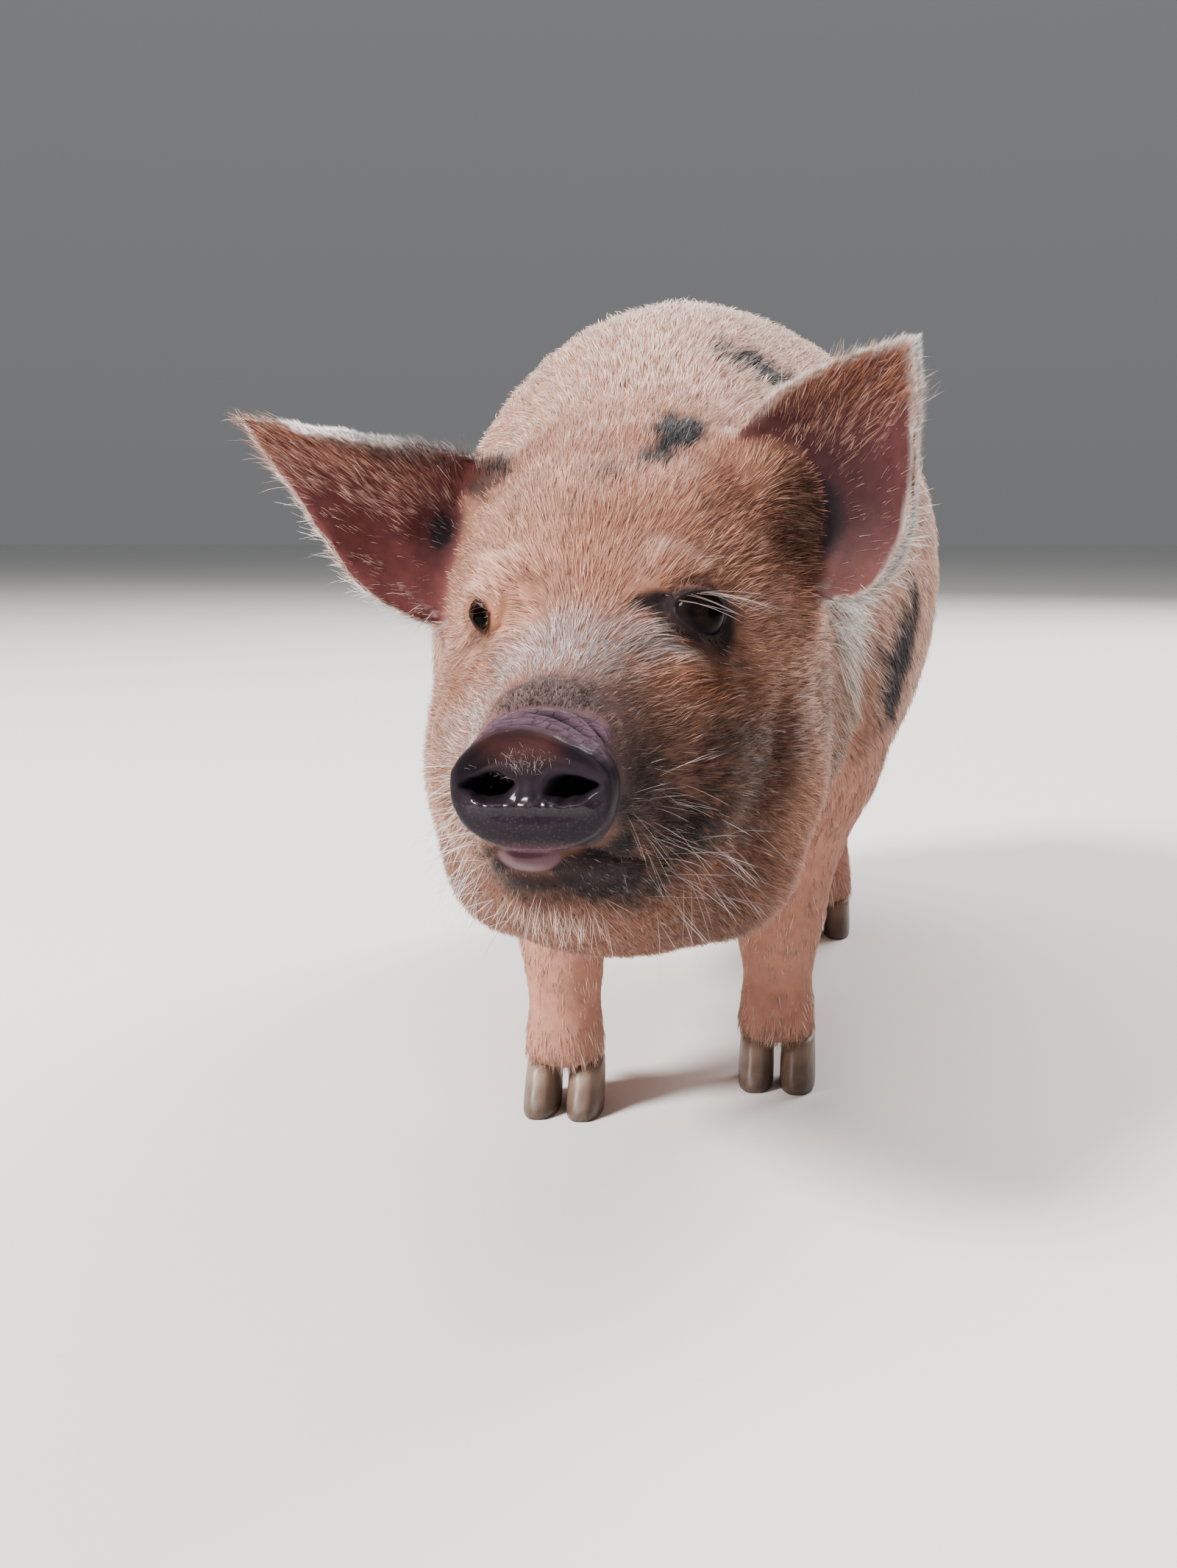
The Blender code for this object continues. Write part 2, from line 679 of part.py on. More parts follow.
def build():
    clear_scene()
    pig = new_collection("kunekune_pig")
    helpers = new_collection("helpers", hidden=True)
    materials = {name: make_material(name) for name in COLOURS}
    head_frame = head_matrix()

    body = fused(body_forms(helpers), pig)
    swollen_body = swollen(body, SWELL, helpers)
    legs = {}
    for name, leg in LEGS.items():
        side = 1 if leg["foot"][0] > 0 else -1
        inward = Vector((side * GAP, 0, -2 * GAP))
        wedge = leg_wedge(name, leg, helpers)
        legs[name] = part_off(body, name, wedge, inward, pig, helpers)
    head = part_off(
        body, "head", front_block("block_head", *HEAD_NECK_Y, helpers), Vector((0, -GAP * 1.2, 0)), pig, helpers
    )
    neck = part_off(
        body, "neck", front_block("block_neck", *NECK_TRUNK_Y, helpers), Vector((0, -GAP * 1.2, 0)), pig, helpers
    )
    jaw = part_off(head, "lower_jaw", jaw_wedge(helpers), Vector((0, 0, -GAP * 1.2)), pig, helpers)
    body.name = "trunk"

    # The snout disc stands in front of the muzzle, which is trimmed to meet its back
    trim_y = DISC_BACK + GAP
    corners = ((-0.05, -0.07), (-0.05, 0.07), (trim_y, 0.07), (trim_y, -0.07))
    outline = [head_frame @ Vector((-0.1, y, z)) for y, z in corners]
    trim = prism("trim_muzzle", outline, head_frame.to_3x3() @ Vector((0.2, 0, 0)), helpers)
    boolean(head, trim, "DIFFERENCE")
    boolean(jaw, trim, "DIFFERENCE")
    disc = make_snout_disc(pig, helpers)

    eyes = []
    for name, place in (("eye_left", Vector(EYE_PLACE)), ("eye_right", mirrored(EYE_PLACE))):
        eyes.append(make_eye(name, place, EYE_RADIUS, head_frame, pig))
        socket = make_eye("socket", place, EYE_RADIUS + GAP, head_frame, helpers)
        boolean(head, socket, "DIFFERENCE")

    ears = [make_ear(name, ear, pig) for name, ear in EARS.items()]
    tail = make_tail(pig)
    for obj in (*ears, tail):
        boolean(obj, swollen_body, "DIFFERENCE")

    flesh = [body, head, neck, jaw, tail, *ears, *legs.values()]
    for obj in flesh:
        keep_largest(obj)
        obj.data.materials.clear()
        obj.data.materials.append(materials["coat"])
    for obj in (disc, *eyes):
        obj.data.materials.clear()
        obj.data.materials.append(materials["snout" if obj is disc else "eye"])
    feet = make_feet(swollen_body, materials, pig)
    for obj in list(helpers.objects):
        bpy.data.objects.remove(obj, do_unlink=True)
    return [*flesh, disc, *eyes, *feet]


def main():
    pieces = build()
    offset = stand_on_origin(pieces)
    for obj in pieces:
        obj.data.shade_smooth()
        obj.data.set_sharp_from_angle(angle=math.radians(50))
    print("moved onto the origin by", [round(c, 4) for c in offset])
    for obj in pieces:
        print(obj.name, sum(len(p.vertices) - 2 for p in obj.data.polygons), "triangles")


main()
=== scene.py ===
import math

import bmesh
import bpy
import numpy as np
from mathutils import Matrix, Vector
from mathutils.bvhtree import BVHTree
from mathutils.kdtree import KDTree


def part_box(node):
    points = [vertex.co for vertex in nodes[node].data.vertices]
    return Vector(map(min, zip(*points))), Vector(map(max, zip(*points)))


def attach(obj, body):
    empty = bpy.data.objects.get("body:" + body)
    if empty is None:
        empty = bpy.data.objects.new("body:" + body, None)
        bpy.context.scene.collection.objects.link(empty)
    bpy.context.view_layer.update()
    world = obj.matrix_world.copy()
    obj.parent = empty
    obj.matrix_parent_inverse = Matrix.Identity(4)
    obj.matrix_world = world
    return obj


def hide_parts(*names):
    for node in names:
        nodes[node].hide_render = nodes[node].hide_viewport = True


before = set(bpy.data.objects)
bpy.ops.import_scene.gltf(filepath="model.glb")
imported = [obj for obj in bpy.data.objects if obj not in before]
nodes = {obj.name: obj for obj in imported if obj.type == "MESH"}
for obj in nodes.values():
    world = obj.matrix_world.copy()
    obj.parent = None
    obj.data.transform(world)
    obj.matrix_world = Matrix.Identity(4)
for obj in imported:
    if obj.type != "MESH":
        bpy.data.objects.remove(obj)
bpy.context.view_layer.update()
print("frame loaded:", len(nodes), "nodes")

# the head's own frame: x to the pig's left, y back from the snout disc, z up; mm in headPlace
headSetup = {"turn": -3.7, "roll": -1.6, "discBack": 0.005, "discDown": 0.001, "discSide": 0.0002}
discLow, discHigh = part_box("snout_disc")
discMiddle = (discLow + discHigh) / 2
headOrigin = discMiddle + Vector((-headSetup["discSide"], -headSetup["discBack"], headSetup["discDown"]))
headFrame = (
    Matrix.Translation(headOrigin)
    @ Matrix.Rotation(math.radians(headSetup["turn"]), 4, "Z")
    @ Matrix.Rotation(math.radians(headSetup["roll"]), 4, "Y")
)
headTurn = np.array(headFrame.to_3x3())
headPoint = np.array(headFrame.translation)


def headPlace(points):  # world metres to head millimetres
    return (np.asarray(points) - headPoint) @ headTurn * 1000.0


def fromHead(points):  # head millimetres to world metres
    return np.asarray(points) / 1000.0 @ headTurn.T + headPoint


def ease(x, low, high):
    t = np.clip((x - low) / (high - low), 0.0, 1.0)
    return t * t * (3 - 2 * t)


def hill(x, width):
    return np.exp(-((x / width) ** 2))


def norm(v):
    return np.linalg.norm(v, axis=-1)


def unit(v):
    return v / np.maximum(norm(v)[..., None], 1e-9)


def mixed(value, goal, share):
    return value * (1 - share) + goal * share


noiseTable = np.random.default_rng(11).random((32, 32, 32))


def softNoise(points, size, shift=0.0):  # smooth noise from 0 to 1 with blobs of about this size
    p = np.asarray(points) / size + shift * 7.31
    cell = np.floor(p).astype(int)
    t = p - cell
    t = t * t * (3 - 2 * t)
    total = np.zeros(len(p))
    for corner in np.ndindex(2, 2, 2):
        x, y, z = np.where(corner, t, 1 - t).T
        i = (cell + corner) % len(noiseTable)
        total += x * y * z * noiseTable[i[:, 0], i[:, 1], i[:, 2]]
    return total


# mesh reading and writing
def readArray(items, key, width=3, kind=float):
    out = np.empty(len(items) * width, dtype=kind)
    items.foreach_get(key, out)
    return out.reshape(-1, width)


def readPlaces(mesh):
    return readArray(mesh.vertices, "co")


def readNormals(mesh):
    return readArray(mesh.vertex_normals, "vector")


def readEdges(mesh):
    return readArray(mesh.edges, "vertices", 2, np.int64)


def writePlaces(mesh, places):
    mesh.vertices.foreach_set("co", places.ravel())
    mesh.update()


def spread(values, edges, rounds, share=0.5):  # averages values with their neighbours over the mesh
    count = len(values)
    a, b = edges[:, 0], edges[:, 1]
    near = np.bincount(a, minlength=count) + np.bincount(b, minlength=count)
    near = np.maximum(near, 1)
    flat = values.reshape(count, -1).astype(float).copy()
    share = np.asarray(share, dtype=float).reshape(-1, 1) if np.ndim(share) else share
    for _ in range(rounds):
        total = np.empty_like(flat)
        for k in range(flat.shape[1]):
            column = flat[:, k]
            total[:, k] = np.bincount(a, column[b], count) + np.bincount(b, column[a], count)
        flat += (total / near[:, None] - flat) * share
    return flat.reshape(values.shape)


def toBmesh(mesh):
    bm = bmesh.new()
    bm.from_mesh(mesh)
    return bm


def fromBmesh(bm, name="shape"):
    mesh = bpy.data.meshes.new(name)
    bm.to_mesh(mesh)
    bm.free()
    return mesh


def smoothFaces(mesh):
    mesh.polygons.foreach_set("use_smooth", np.ones(len(mesh.polygons), bool))


def newObject(name, data):
    obj = bpy.data.objects.new(name, data)
    bpy.context.scene.collection.objects.link(obj)
    return obj


def evaluated(obj):
    bpy.context.view_layer.update()
    graph = bpy.context.evaluated_depsgraph_get()
    return bpy.data.meshes.new_from_object(obj.evaluated_get(graph))


# nodes: an input takes either a socket to link or a constant
def feed(tree, socket, value):
    if isinstance(value, bpy.types.NodeSocket):
        tree.links.new(value, socket)
    elif socket.type == "RGBA" and len(value) == 3:
        socket.default_value = (*value, 1)
    else:
        socket.default_value = value


def fill(tree, node, inputs):
    for name, value in inputs.items():
        feed(tree, node.inputs[name], value)


def addNode(tree, kind, inputs=None, **settings):
    node = tree.nodes.new(kind)
    for key, value in settings.items():
        setattr(node, key, value)
    fill(tree, node, inputs or {})
    return node


def mixColour(tree, mode, factor, a, b):
    node = addNode(tree, "ShaderNodeMix", data_type="RGBA", blend_type=mode)
    for place, value in ((0, factor), (6, a), (7, b)):
        feed(tree, node.inputs[place], value)
    return node.outputs[2]


def maths(tree, operation, *values, kind="ShaderNodeMath"):
    node = addNode(tree, kind, operation=operation)
    for place, value in enumerate(values):
        feed(tree, node.inputs[place], value)
    return node.outputs[0]


def vectorMaths(tree, operation, *values):
    return maths(tree, operation, *values, kind="ShaderNodeVectorMath")


def bumped(tree, height, strength, distance):
    bump = addNode(tree, "ShaderNodeBump", {"Strength": strength, "Distance": distance, "Height": height})
    return bump.outputs["Normal"]


def ramp(tree, value, low, high, toLow=0.0, toHigh=1.0):
    node = addNode(tree, "ShaderNodeMapRange", {
        "Value": value, "From Min": low, "From Max": high, "To Min": toLow, "To Max": toHigh})
    return node.outputs["Result"]


def attribute(tree, name, output="Fac"):
    return addNode(tree, "ShaderNodeAttribute", attribute_name=name).outputs[output]


def startMaterial(name):
    material = bpy.data.materials.new(name)
    material.use_nodes = True
    tree = material.node_tree
    return material, tree, tree.nodes["Principled BSDF"], tree.nodes.new("ShaderNodeTexCoord").outputs["Object"]


# camera at the photo's viewing angle
cameraSetup = {"fromSnout": (0.0953, -0.5115, 0.082), "azimuth": 8.5, "pitch": 8.9, "lens": 37.17}


def makeCamera():
    data = bpy.data.cameras.new("camera")
    data.lens = cameraSetup["lens"]
    camera = newObject("camera", data)
    a, p = math.radians(cameraSetup["azimuth"]), math.radians(cameraSetup["pitch"])
    ahead = Vector((-math.sin(a) * math.cos(p), math.cos(a) * math.cos(p), -math.sin(p)))
    camera.location = headOrigin + Vector(cameraSetup["fromSnout"])
    camera.rotation_euler = ahead.to_track_quat("-Z", "Y").to_euler()
    bpy.context.scene.camera = camera


# soft studio light: place, aim, size in metres, watts, colour
lightSetup = {
    "key": ((-3.3, -2.7, 3.5), (0, -0.2, 0.2), 1.4, 840, (1.0, 0.97, 0.94)),
    "fill": ((3.8, -2.6, 1.4), (0, -0.1, 0.2), 3.0, 8, (0.93, 0.96, 1.0)),
    "rim": ((1.6, 3.6, 3.3), (0, 0, 0.3), 2.2, 340, (1.0, 0.99, 0.97)),
    "top": ((-0.5, 0.4, 4.2), (0, 0, 0.2), 3.0, 140, (1.0, 1.0, 1.0)),
}
worldSetup = {"horizon": (0.70, 0.71, 0.72), "above": (0.88, 0.90, 0.93), "strength": 0.25}
floorSetup = {"size": 60.0, "colour": (0.74, 0.73, 0.71), "rough": 0.85, "shine": 0.2}


def makeLights():
    for name, (place, aim, size, power, colour) in lightSetup.items():
        data = bpy.data.lights.new(name, "AREA")
        data.shape = "DISK"
        data.size, data.energy, data.color = size, power, colour
        obj = newObject("light_" + name, data)
        obj.location = place
        obj.rotation_euler = (Vector(aim) - Vector(place)).to_track_quat("-Z", "Y").to_euler()
    world = bpy.data.worlds.new("studio")
    world.use_nodes = True
    tree = world.node_tree
    around = tree.nodes.new("ShaderNodeTexCoord").outputs["Generated"]
    climb = ramp(tree, addNode(tree, "ShaderNodeSeparateXYZ", {"Vector": around}).outputs["Z"], 0.0, 0.5)
    fade = mixColour(tree, "MIX", climb, worldSetup["horizon"], worldSetup["above"])
    fill(tree, tree.nodes["Background"], {"Color": fade, "Strength": worldSetup["strength"]})
    bpy.context.scene.world = world


def makeFloor():
    bm = bmesh.new()
    bmesh.ops.create_grid(bm, x_segments=4, y_segments=4, size=floorSetup["size"] / 2)
    mesh = fromBmesh(bm, "floor")
    floor = newObject("floor", mesh)
    material = bpy.data.materials.new("paleFloor")
    material.use_nodes = True
    tree = material.node_tree
    fill(tree, tree.nodes["Principled BSDF"], {
        "Base Color": floorSetup["colour"], "Roughness": floorSetup["rough"],
        "Specular IOR Level": floorSetup["shine"]})
    mesh.materials.append(material)


makeCamera()
makeLights()
makeFloor()
print("camera, lights and floor made")

# the skin: the flesh solids fused, smoothed, refined on the face and drawn in by the coat's depth
mergeDistance = 0.000002
fleshNodes = (
    "head", "lower_jaw", "snout_disc", "neck", "trunk", "tail", "ear_left", "ear_right",
    "foreleg_left", "foreleg_right", "hindleg_left", "hindleg_right",
)
skinSetup = {
    "voxel": 0.0026, "swell": 0.0005, "smoothing": 26, "finalSmoothing": 3,
    "eyeFill": 0.0120, "legBottom": 0.0232, "legSink": 0.0022, "headBack": 190.0, "faceBack": 122.0,
    "snoutBack": 36.0, "chinLow": -48.0, "eyeReach": 19.0, "evening": 3, "shareSoft": 6, "depthSoft": 14,
}
eyeSetup = {"radius": 11.8, "slant": {1: -18.0, -1: -13.0}, "roundness": 1.75}
# middle of the ball, way it faces, then half angles of the opening: to the nose, to the ear, up, down
eyeOpening = {
    1: dict(middle=(39.5, 96.0, 50.0), outward=55.0, inner=76.0, outer=66.0, upper=32.0, lower=41.0),
    -1: dict(middle=(-36.0, 95.5, 50.8), outward=16.0, inner=15.0, outer=15.0, upper=25.0, lower=24.0),
}
# by region: share of smoothing, depth of coat, hair length and width in mm, lift in degrees,
# then hairs per square cm, the longer bent ones and the short straight ones
coatPlan = {
    "head": (0.50, 2.0, 11.5, 0.29, 12, 35, 108),
    "lower_jaw": (0.45, 1.8, 9.0, 0.32, 18, 30, 84),
    "snout_disc": (0.12, 0.1, 0.0, 0.30, 20, 0, 0),
    "neck": (0.50, 3.0, 14.0, 0.42, 14, 12, 40),
    "trunk": (0.55, 3.6, 17.0, 0.49, 12, 4.3, 21.5),
    "tail": (0.40, 2.2, 14.0, 0.60, 12, 20, 40),
    "ear": (0.26, 1.2, 7.5, 0.32, 14, 16, 52),
    "foreleg": (0.42, 2.0, 9.5, 0.52, 12, 4, 20),
    "hindleg": (0.42, 2.4, 11.0, 0.55, 12, 4, 16),
}


def fleshShape(name):  # one solid, merged and swollen a little so that the thin cuts close
    bm = toBmesh(nodes[name].data)
    bmesh.ops.remove_doubles(bm, verts=bm.verts, dist=mergeDistance)
    if name == "snout_disc":  # the nostrils are sculpted later in a finer mesh
        hull = bmesh.new()
        for vertex in bm.verts:
            hull.verts.new(vertex.co)
        bmesh.ops.convex_hull(hull, input=hull.verts)
        bmesh.ops.delete(hull, geom=[v for v in hull.verts if not v.link_faces], context="VERTS")
        bm.free()
        bm = hull
    bmesh.ops.recalc_face_normals(bm, faces=bm.faces)
    bm.normal_update()
    moved = [v.co + v.normal * skinSetup["swell"] for v in bm.verts]
    for vertex, place in zip(bm.verts, moved):
        vertex.co = place
    return bm


def eyeMiddle(side):
    return np.array(eyeOpening[side]["middle"])


def fuseFlesh():
    bm = bmesh.new()
    for name in fleshNodes:
        mesh = fromBmesh(fleshShape(name))
        bm.from_mesh(mesh)
        bpy.data.meshes.remove(mesh)
    for side in (-1, 1):
        place = Vector(fromHead(eyeMiddle(side)))
        bmesh.ops.create_icosphere(
            bm, subdivisions=4, radius=skinSetup["eyeFill"], matrix=Matrix.Translation(place)
        )
    obj = newObject("fused", fromBmesh(bm))
    remesh = obj.modifiers.new("one skin", "REMESH")
    remesh.mode = "VOXEL"
    remesh.voxel_size = skinSetup["voxel"]
    fused = evaluated(obj)
    bpy.data.objects.remove(obj)
    return fused


def largestPart(mesh):  # drops bubbles that the remesh leaves inside
    edges = readEdges(mesh)
    label = np.arange(len(mesh.vertices))
    while True:
        low = np.minimum(label[edges[:, 0]], label[edges[:, 1]])
        before = label.copy()
        np.minimum.at(label, edges[:, 0], low)
        np.minimum.at(label, edges[:, 1], low)
        label = label[label]
        if np.array_equal(before, label):
            break
    ids, counts = np.unique(label, return_counts=True)
    keep = ids[np.argmax(counts)]
    if len(ids) > 1:
        bm = toBmesh(mesh)
        bm.verts.ensure_lookup_table()
        drop = [bm.verts[i] for i in np.nonzero(label != keep)[0]]
        bmesh.ops.delete(bm, geom=drop, context="VERTS")
        bm.to_mesh(mesh)
        bm.free()
    return mesh


def findRegions(points):  # which solid is nearest to each point
    places, faces, owner = [], [], []
    for index, name in enumerate(fleshNodes):
        mesh = nodes[name].data
        start = len(places)
        places += [v.co.copy() for v in mesh.vertices]
        faces += [[v + start for v in polygon.vertices] for polygon in mesh.polygons]
        owner += [index] * len(mesh.polygons)
    tree = BVHTree.FromPolygons(places, faces)
    return np.array(owner)[np.array([tree.find_nearest(Vector(p))[2] for p in points])]


def kindOf(name):
    return name.removesuffix("_left").removesuffix("_right")


def planColumn(regions, column):
    return np.array([coatPlan[kindOf(name)][column] for name in fleshNodes], dtype=float)[regions]


def refine(bm, inside, rounds):  # splits the edges that lie inside, and evens the new points
    places = np.array([v.co for v in bm.verts])
    chosen = inside(headPlace(places))
    edges = [e for e in bm.edges if chosen[e.verts[0].index] and chosen[e.verts[1].index]]
    bmesh.ops.subdivide_edges(bm, edges=edges, cuts=1, use_grid_fill=True)
    bm.verts.index_update()
    bm.verts.ensure_lookup_table()
    places = np.array([v.co for v in bm.verts])
    pairs = np.array([(e.verts[0].index, e.verts[1].index) for e in bm.edges])
    share = np.where(inside(headPlace(places)), 0.5, 0.0)
    for vertex, place in zip(bm.verts, spread(places, pairs, rounds, share)):
        vertex.co = place


def nearFace(h):
    return h[:, 1] < skinSetup["faceBack"]


def nearDetail(h):
    snout = (h[:, 1] < skinSetup["snoutBack"]) & (h[:, 2] > skinSetup["chinLow"])
    eyes = np.zeros(len(h), bool)
    for side in (-1, 1):
        eyes |= norm(h - eyeMiddle(side)) < skinSetup["eyeReach"]
    return snout | eyes


def makeSkinMesh():
    mesh = largestPart(fuseFlesh())
    places, edges = readPlaces(mesh), readEdges(mesh)
    regions = findRegions(places)
    print("skin fused:", len(places), "points")
    nearFloor = ease(places[:, 2], 0.075, 0.040)
    share = spread(planColumn(regions, 0), edges, skinSetup["shareSoft"]) * (1 - 0.75 * nearFloor)
    places = spread(places, edges, skinSetup["smoothing"], share)
    writePlaces(mesh, places)
    depth = spread(planColumn(regions, 1), edges, skinSetup["depthSoft"]) / 1000.0
    depth *= 1 - 0.75 * nearFloor
    places = places - readNormals(mesh) * depth[:, None]
    lowest = skinSetup["legBottom"]
    places[:, 2] -= ease(places[:, 2], lowest + 0.016, lowest + 0.002) * skinSetup["legSink"]
    places[:, 2] = np.maximum(places[:, 2], lowest)
    places = spread(places, edges, skinSetup["finalSmoothing"], share)
    writePlaces(mesh, places)
    bm = toBmesh(mesh)
    for inside in (nearFace, nearDetail):
        refine(bm, inside, skinSetup["evening"])
    bm.to_mesh(mesh)
    bm.free()
    print("skin refined:", len(mesh.vertices), "points")
    return mesh


# sculpting of the face, all in head millimetres
snoutSetup = {
    "halfWidth": 29.0, "top": 20.5, "bottom": 22.5, "hood": 3.6, "hoodPlace": 0.95, "recess": 2.6,
    "ledge": 1.3, "lowerBulge": 2.4, "septum": 1.2, "nostrilSide": 14.2, "nostrilUp": -0.4,
    "nostrilLong": 8.4, "nostrilHigh": 4.6, "nostrilDepth": 15.0, "nostrilTilt": 6.0, "roundness": 2.3,
}
# upper edge of the disc, from the pig's right to its left: place across, height
discTop = (
    (-30, 1.5), (-28.2, 6.4), (-23.2, 11.6), (-16, 17.2), (-10.3, 19.9), (-1.9, 20.4), (4.5, 19.2),
    (12.2, 16.2), (21, 12.3), (26.7, 7.4), (30, 1.5),
)
creaseSetup = ((3.2, 0.9, 1.8), (8.2, 1.0, 2.9), (13.6, 1.1, 2.8), (19.6, 1.7, 3.4))  # place, width, depth
rollSetup = ((5.8, 2.4, 1.6), (10.9, 2.7, 1.9), (16.4, 2.8, 1.6), (27.0, 6.5, 2.6))


mouthSetup = {
    "line": ((9.0, -23.2), (13.0, -24.2), (24.0, -28.8), (40.0, -31.5), (66.0, -35.0)),
    "depth": 2.0, "width": 1.1, "lipDown": 4.4, "lipWidth": 2.6, "lip": 1.2, "push": 4.2, "lipSide": -4.5,
}


def discStretch(x):  # how much lower the real upper edge is than an even oval
    s = snoutSetup
    inner = np.clip(x, -27.5, 27.5)
    power = s["roundness"]
    even = (s["top"] + 1) * (1 - (np.abs(inner) / s["halfWidth"]) ** power) ** (1 / power)
    return np.clip((np.interp(inner, *np.array(discTop).T) + 1) / even, 0.7, 1.06)


def discReach(x, z):  # 0 at the middle of the disc, 1 on its edge
    high = np.where(z > -1, snoutSetup["top"] + 1, snoutSetup["bottom"] - 1)
    power = snoutSetup["roundness"]
    return (np.abs(x / snoutSetup["halfWidth"]) ** power + np.abs((z + 1) / high) ** power) ** (1 / power)


def shownReach(x, z):  # the same on the finished shape
    return discReach(x, np.where(z > -1, (z + 1) / discStretch(x) - 1, z))


def nostrilReach(x, z, side):  # 1 on the nostril's edge; the inner end is the rounder one
    tilt = math.radians(snoutSetup["nostrilTilt"]) * side
    dx = x - side * snoutSetup["nostrilSide"]
    dz = z - snoutSetup["nostrilUp"]
    along = (dx * math.cos(tilt) + dz * math.sin(tilt)) * side
    up = -dx * math.sin(tilt) + dz * math.cos(tilt)
    high = snoutSetup["nostrilHigh"] * (1 - 0.28 * np.clip(along / snoutSetup["nostrilLong"], -1, 1))
    return np.sqrt((along / snoutSetup["nostrilLong"]) ** 2 + (up / high) ** 2)


def cusp(x, width):  # a narrow crease between rounded rolls
    return np.exp(-np.abs(x) / width)


def sculptSnout(h, n):
    s = snoutSetup
    x, y, z = h[:, 0].copy(), h[:, 1].copy(), h[:, 2].copy()
    front = ease(-n[:, 1], 0.25, 0.75) * ease(y, 9.0, 5.0)
    reach = discReach(x, z)
    above = np.arctan2(z + 3, np.abs(x) + 1e-6)
    upper = ease(above, 0.0, 0.7)
    hood = s["hood"] * hill(reach - s["hoodPlace"], 0.13) * upper
    side = 1.1 * hill(reach - 0.93, 0.12) * (1 - upper) * ease(z, -16, -2)
    recess = s["recess"] * hill(z - 9.0, 6.5) * ease(reach, 0.93, 0.6)
    recess += 1.0 * hill(z - 1.0, 3.6) * ease(np.abs(x), 26, 18)
    ledge = s["ledge"] * hill(z + 6.4, 1.9) * ease(np.abs(x), 25, 16)
    bulge = s["lowerBulge"] * hill(z + 13, 6.5) * ease(reach, 1.0, 0.55)
    septum = s["septum"] * hill(x, 3.4) * hill(z + 1, 6.0)
    push = -(hood + side + ledge + bulge + septum) + recess
    ragged = 0.22 * (softNoise(h, 2.6, 6) - 0.5)
    for k in (-1, 1):
        r = nostrilReach(x, z, k) + ragged
        push += s["nostrilDepth"] * ease(r, 1.10, 0.42)
        push -= 0.5 * hill(r - 1.25, 0.2)
    push += 0.65 * (softNoise(h, 1.4, 7) - 0.5) * hill(z + 6.0, 3.4)  # uneven wet ledge
    h[:, 1] += push * front
    # rolls and creases across the top of the muzzle
    around = np.arctan2(z + 4, np.abs(x) + 1e-6)
    across = ease(around, 0.40, 0.85) * np.where(x > 0, ease(x, 29, 21), ease(-x, 24, 14)) * ease(y, 1.0, 3.5)
    back = y + x * x / 110.0 + 1.3 * (softNoise(h, 9.0, 8) - 0.5)
    for place, width, depth in creaseSetup:
        h -= n * (depth * cusp(back - place, width) * across)[:, None]
    for place, width, height in rollSetup:
        h += n * (height * hill(back - place, width) * across)[:, None]
    lowered = ease(y, 17, 9) * (z > -1)
    h[:, 2] = np.where(z > -1, -1 + (h[:, 2] + 1) * (1 + (discStretch(x) - 1) * lowered), h[:, 2])
    return h


def mouthLevel(y):
    return np.interp(y, *np.array(mouthSetup["line"]).T)


def sculptMouth(h, n):
    m = mouthSetup
    x, y, z = h[:, 0], h[:, 1], h[:, 2]
    inReach = ease(y, 70, 58) * ease(z, -46, -42) * ease(z, -12, -20)
    below = z - mouthLevel(y)
    groove = -m["depth"] * hill(below, m["width"]) * inReach
    groove *= 1 - 0.7 * ease(y, 22, 15) * hill(x - m["lipSide"], 10)
    lipShare = 0.35 + 0.65 * ease(y, 34, 14)
    lip = m["lip"] * hill(below + m["lipDown"], m["lipWidth"]) * inReach * lipShare
    upper = 0.7 * hill(below - 3.2, 2.2) * inReach * ease(y, 8, 14)
    h += n * (groove + lip + upper)[:, None]
    front = ease(y, 19, 12) * ease(np.abs(x), 19, 8) * ease(-n[:, 1], -0.1, 0.35)
    across = x - m["lipSide"]
    h[:, 1] -= m["push"] * front * hill(z + 26.4 - across ** 2 / 120.0, 3.3) * hill(across, 9.5)
    h[:, 1] += 2.0 * front * hill(z + 35.5, 3.0)
    return h


def eyeAxes(side):
    out = math.radians(eyeOpening[side]["outward"])
    ahead = unit(np.array((side * math.sin(out), -math.cos(out), 0.04)))
    back = unit(np.cross((0, 0, 1.0), ahead)) * side  # along the eye, towards the ear
    slant = math.radians(eyeSetup["slant"][side])
    up = unit(np.cross(ahead, back)) * side
    if up[2] < 0:
        up = -up
    turnedBack = back * math.cos(slant) + up * math.sin(slant)
    turnedUp = up * math.cos(slant) - back * math.sin(slant)
    return ahead, turnedBack, turnedUp


def eyeAngles(h, side):
    ahead, back, up = eyeAxes(side)
    q = h - eyeMiddle(side)
    r = norm(q)
    d = q / np.maximum(r, 1e-6)[:, None]
    along = np.degrees(np.arctan2(d @ back, d @ ahead))
    high = np.degrees(np.arcsin(np.clip(d @ up, -1, 1)))
    return d, r, along, high


def eyeReach(along, high, side):  # 1 on the edge of the lids
    o = eyeOpening[side]
    tall = np.where(high > 0, o["upper"], o["lower"])
    wide = np.where(along > 0, o["outer"], o["inner"])
    power = eyeSetup["roundness"]
    return (np.abs(along / wide) ** power + np.abs(high / tall) ** power) ** (1 / power)


